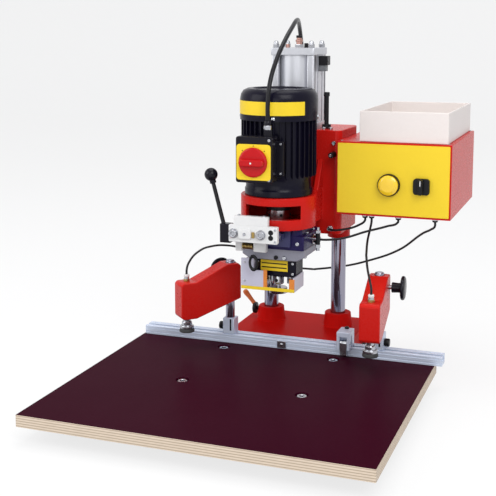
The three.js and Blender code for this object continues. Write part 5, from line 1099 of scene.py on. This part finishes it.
for side, sign in (("left", -1), ("right", 1)):
    away = TOWARDS + math.pi if sign > 0 else -TOWARDS
    there = 0 if sign > 0 else (math.pi - 2 * TOWARDS) / PITCH
    bm = bmesh.new()
    turned(
        bm,
        [
            (0, 117.8), (3.6, 120.4), (4, 121.4), (4, 137.8), (7.2, 137.8), (8, 138.6), (8, 154),
            (7.2, 154.8), (6, 154.8), (6, 179.5), (0, 179.5),
        ],
        (sign * SCREW_X, SCREW_Y, 0), steps=36,
    )
    cap_screw(bm, (sign * SCREW_X, SCREW_Y - 7.8, 146), TO_FRONT, 2.4, 1, 1)
    phase = away / PITCH + 0.5 + there - round(there)
    toothed(bm, (sign * SCREW_X, SCREW_Y), GEAR_ROOT, GEAR_TIP, TEETH, phase, GEAR_BOTTOM, GEAR_TOP)
    piece(
        "screw_spindle_" + side, settled(bm), [bright_steel, dark_steel], "side_spindle_" + side,
        "spindle_" + side,
    )


# Motor shaft. It carries the fan under the cowl and the upper coupling half. It is seen only
# through the window in the ring and keeps its CAD form, with eased edges.
def dressed(node, material, width):
    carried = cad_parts[node]
    for place_of in carried.material_slots:
        place_of.material = material
    bevel = carried.modifiers.new("edges", "BEVEL")
    bevel.width = width / 1000
    bevel.segments = 2
    bevel.limit_method = "ANGLE"
    bevel.angle_limit = math.radians(35)


dressed("motor_shaft", dark_steel, 0.4)


# Control box. A folded and enamelled sheet-steel box on the right, which rides with the head. Its
# yellow front panel carries a round start button in a thin collar and a square selector knob. An
# open bin lies on its lid.
piece("control_case", softened("control_box", 0.8), red_enamel, "head", "control_box")
bm = bmesh.new()
slab(bm, (101.3, 314.3), (27.7, 29.7), (275, 409), "y", 2, 0.5)
piece("panel", settled(bm), yellow, "head", "control_panel")
bm = bmesh.new()
for x in (106, 309.5):
    for y in (40, 310):
        cap_screw(bm, (x, y, 412), (0, 0, 1), 3, 1.3)
piece("case_screws", settled(bm), bright_steel, "head")

BUTTON_AT, SELECTOR_AT = (201.6, 0, 333), (263.3, 0, 333)
bm = bmesh.new()
turned(
    bm,
    [(19.4, 27.5), (21.2, 27.5), (21.2, 20.4), (20.8, 19.7), (19.8, 19.6), (19.4, 20), (19.4, 27.5)],
    BUTTON_AT,
    TO_BACK,
    64,
)
piece("button_collar", settled(bm), black_plastic, "head")
bm = bmesh.new()
turned(
    bm,
    [
        (0, 11.4), (12, 11.9), (16.6, 13), (18.6, 14.8), (19, 17), (19, 22), (18.4, 22.4), (11, 22.4),
        (11, 44), (0, 44),
    ],
    BUTTON_AT, TO_BACK, 64,
)
yellow_button = finish_of(
    "yellow button", (0.9, 0.6, 0.02), (0.84, 0.54, 0.018), 0.22, 0.08, 300, 0.03, Coat_Weight=0.4,
    Coat_Roughness=0.1,
)
piece("start_cap", settled(bm), yellow_button, "start_button", "start_button")
bm = bmesh.new()
turned(bm, [(0, 26), (8, 26), (8, 49), (0, 49)], SELECTOR_AT, TO_BACK, 56)
slab(bm, (248, 278.6), (19.6, 27.4), (317.7, 348.3), "y", 6, 1.2)
slab(bm, (258.8, 267.8), (8.6, 20), (318.8, 347.2), "y", 3.4, 1.2)
slab(bm, (262.5, 264.1), (8.2, 8.8), (336, 345.6), "y", 0, 0.1, 1)
piece(
    "selector_cap", settled(bm), [black_plastic, white_paint], "selector", "selector_knob",
)

bin_cream = finish_of("bin plastic", (0.78, 0.72, 0.69), (0.72, 0.66, 0.63), 0.46, 0.1, 180, 0.12)
piece("open_bin", softened("hinge_bin", 1.0, 3), bin_cream, "bin", "hinge_bin")


# Clamps. On each side a chromed post stands in an aluminium block that a black knob locks on the
# fence. A red cast arm turns on the post and holds an air presser with a rubber pad.
rubber = finish_of("rubber", (0.016, 0.016, 0.017), (0.024, 0.024, 0.025), 0.62, 0.14, 900, 0.25)
red_casting = finish_of(
    "red casting", (0.58, 0.013, 0.009), (0.5, 0.01, 0.007), 0.28, 0.1, 260, 0.18, Specular_IOR_Level=0.12
)
POST_ROW = 12  # behind the fence's front
BLOCK_HALF_WIDTH = 12
BLOCK_KNOB_HEIGHT, ARM_KNOB_HEIGHT = 32, 140
PRESSER_REACH = 94  # from the post's axis
for side, sign, post_x, arm_turn in (("left", -1, -113, -44), ("right", 1, 190, 4)):
    post_at = Vector((post_x, POST_ROW, 0))
    swing = Matrix.Rotation(math.radians(arm_turn), 3, "Z")
    presser_at = post_at + swing @ Vector((0, -PRESSER_REACH, 0))
    block_across = (post_x - BLOCK_HALF_WIDTH, post_x + BLOCK_HALF_WIDTH)

    bm = bmesh.new()
    slab(bm, block_across, (1, 26), (18.3, 50), "z", 1.5, 1.1)
    slab(bm, block_across, (8.3, 15.7), (15, 19), "x", 0, 0)
    drawn(
        bm, [(post_x + 3, 25), (post_x + 6.4, 25), (post_x + 6.4, 49), (post_x + 3, 49)], "y", 0.8, 1.4, 1,
    )
    turned(bm, [(9.1, 49.4), (11, 49.4), (11, 50.6), (10.4, 51), (9.1, 51), (9.1, 49.4)], post_at, steps=40)
    piece(
        "clamp_block_" + side, settled(bm), [satin_aluminium, black_plastic], "base", "post_block_" + side,
    )

    bm = bmesh.new()
    turned(bm, [(0, 42.3), (9, 42.3), (9, 165.4), (8.4, 167), (7, 168), (0, 168)], post_at, steps=48)
    piece("post_" + side, settled(bm), chrome_painted_dark, "base", "clamp_post_" + side)

    bm = bmesh.new()
    knob_at, way = (post_x + sign * 12.3, POST_ROW, BLOCK_KNOB_HEIGHT), (sign, 0, 0)
    turned(bm, [(0, 0), (6.4, 0), (8, 1.4), (8, 8), (7.2, 9.6), (5, 10), (0, 10)], knob_at, way, 12)
    turned(bm, [(0, -9), (3, -9), (3, 2), (0, 2)], knob_at, way, 20, index=1)
    piece(
        "block_handle_" + side, settled(bm), [black_plastic, bright_steel], "block_knob_" + side,
        "block_knob_" + side,
    )

    piece(
        "arm_" + side, softened("clamp_arm_" + side, 2.2, 3), red_casting, "clamp_" + side,
        "clamp_arm_" + side,
    )
    bm = bmesh.new()
    turned(
        bm, [(0, 133.9), (6.6, 133.9), (6.6, 138.6), (5.8, 139.4), (0, 139.4)], presser_at, steps=6,
        index=1,
    )
    turned(bm, [(0, 139), (5.3, 139), (5.3, 144), (0, 144)], presser_at, steps=28)
    turned(
        bm,
        [(2.4, 143.8), (5.2, 143.8), (5.6, 144.6), (5.6, 147.6), (4.8, 148.4), (2.4, 148.4), (2.4, 143.8)],
        presser_at, steps=28, index=2,
    )
    piece(
        "arm_fitting_" + side, settled(bm), [bright_steel, brass, white_paint], "clamp_" + side,
    )

    bm = bmesh.new()
    knob_at, way = post_at + Vector((0, 0, ARM_KNOB_HEIGHT)), swing @ Vector((sign, 0, 0))
    turned(bm, [(0, 9.3), (4, 9.3), (4, 25), (0, 25)], knob_at, way, 28, index=1)
    turned(
        bm,
        [
            (0, 24), (9, 24), (10, 25), (9.2, 36), (9.6, 40), (13, 41), (20, 41.4), (22.4, 42.6), (23, 45),
            (22.2, 47.6), (19, 49.2), (12, 50), (0, 50),
        ],
        knob_at, way, 64,
    )
    piece(
        "arm_handle_" + side, settled(bm), [switch_black, bright_steel], "arm_knob_" + side,
        "arm_knob_" + side,
    )

    bm = bmesh.new()
    turned(
        bm,
        [
            (0, 40.3), (13.4, 40.3), (14, 41), (14, 44.6), (12.6, 46.3), (10, 46.8), (10, 52.6),
            (8.8, 54.3), (7, 54.6), (7, 96.6), (0, 96.6),
        ],
        presser_at, steps=48,
    )
    piece(
        "presser_" + side, settled(bm), bright_steel, "presser_" + side, "presser_rod_" + side,
    )
    bm = bmesh.new()
    turned(
        bm, [(0, 33), (14.2, 33), (15, 33.8), (14.6, 37), (13.5, 39.4), (12.8, 40), (0, 40)], presser_at,
        steps=48,
    )
    piece("pad_" + side, settled(bm), rubber, "presser_" + side, "presser_pad_" + side)


# Flip stop. A silver U-shaped bracket stands on the fence and locates the door's end with a steel
# finger, which swings up on a pin when it isn't wanted.
piece(
    "stop_yoke", softened("stop_bracket", 1.2, 3), satin_aluminium, "flip_stop", "stop_bracket",
)
piece(
    "stop_tongue", softened("stop_finger", 0.7), bright_steel, "flip_finger", "stop_finger",
)
bm = bmesh.new()
cap_screw(bm, (127, 16, 50), (0, 0, 1), 4.2, 3.6)
piece("stop_screw", settled(bm), dark_steel, "flip_stop")


# Studio. A pale floor runs up into a pale wall, with large soft lights from both sides and above,
# so that colours come out about as they are written and metal has something to reflect.
paper = finish_of("studio paper", (0.86, 0.86, 0.86), (0.82, 0.82, 0.82), 0.9, 0.05, 30, 0.0)


def seen(tree):
    """One where a surface or the sky is looked at, also in a reflection, and zero where it gives light."""
    ray = tree.nodes.new("ShaderNodeLightPath")
    direct = math_node(tree, "ADD", ray.outputs["Is Camera Ray"], ray.outputs["Is Glossy Ray"])
    return math_node(tree, "MINIMUM", math_node(tree, "ADD", direct, ray.outputs["Is Transmission Ray"]), 1)


tree = paper.node_tree
glow = tree.nodes.new("ShaderNodeEmission")
glow.inputs["Strength"].default_value = 1.0
lit = tree.nodes.new("ShaderNodeMixShader")
PAPER_GLOW = 0.78  # how much of its plain colour the camera sees, and the rest is lit
tree.links.new(math_node(tree, "MULTIPLY", seen(tree), PAPER_GLOW), lit.inputs[0])
tree.links.new(tree.nodes["Principled BSDF"].outputs[0], lit.inputs[1])
tree.links.new(glow.outputs[0], lit.inputs[2])
tree.links.new(lit.outputs[0], tree.nodes["Material Output"].inputs["Surface"])
bm = bmesh.new()
FLOOR_HALF, WALL_HEIGHT, BEND = 6.0, 5.0, 1.0
BEND_START = FLOOR_HALF - BEND
section = [(-FLOOR_HALF, 0.0), (BEND_START, 0.0)]
for turn in range(10, 100, 10):
    angle = math.radians(turn)
    section.append((BEND_START + BEND * math.sin(angle), BEND - BEND * math.cos(angle)))
section.append((FLOOR_HALF, WALL_HEIGHT))
row = [bm.verts.new((-FLOOR_HALF * 1.5, y, z)) for y, z in section]
edges = [bm.edges.new(pair) for pair in zip(row, row[1:])]
grown = bmesh.ops.extrude_edge_only(bm, edges=edges)["geom"]
bmesh.ops.translate(
    bm, verts=[g for g in grown if isinstance(g, bmesh.types.BMVert)], vec=(FLOOR_HALF * 3, 0, 0),
)
bmesh.ops.recalc_face_normals(bm, faces=bm.faces)
for face in bm.faces:
    face.smooth = True
mesh = bpy.data.meshes.new("studio")
bm.to_mesh(mesh)
bm.free()
mesh.materials.append(paper)
studio = bpy.data.objects.new("studio", mesh)
bpy.context.scene.collection.objects.link(studio)

LAMPS_LOOK_AT = Vector((0, 0, 0.3))
for name, at, size, power in (
    ("key_light", (1.6, -1.9, 2.3), 1.6, 42),
    ("fill_light", (-2.1, -1.5, 1.5), 1.8, 26),
    ("top_light", (0.0, 0.3, 2.8), 2.0, 34),
    ("front_light", (0.3, -3.2, 1.0), 1.8, 14),
):
    lamp = bpy.data.lights.new(name, "AREA")
    lamp.shape = "SQUARE"
    lamp.size = size
    lamp.energy = power
    light = bpy.data.objects.new(name, lamp)
    light.location = at
    aim = LAMPS_LOOK_AT - Vector(at)
    light.rotation_euler = aim.to_track_quat("-Z", "Y").to_euler()
    bpy.context.scene.collection.objects.link(light)

world = bpy.data.worlds.new("studio")
bpy.context.scene.world = world
world.use_nodes = True
world.node_tree.nodes["Background"].inputs["Color"].default_value = (0.93, 0.95, 1, 1)
tree = world.node_tree
tree.nodes["Background"].inputs["Strength"].default_value = 0.55
white_sky = tree.nodes.new("ShaderNodeBackground")
white_sky.inputs["Strength"].default_value = 1.0
sky = tree.nodes.new("ShaderNodeMixShader")
tree.links.new(seen(tree), sky.inputs[0])
tree.links.new(tree.nodes["Background"].outputs[0], sky.inputs[1])
tree.links.new(white_sky.outputs[0], sky.inputs[2])
tree.links.new(sky.outputs[0], tree.nodes["World Output"].inputs["Surface"])
bpy.context.scene.view_settings.view_transform = "Standard"
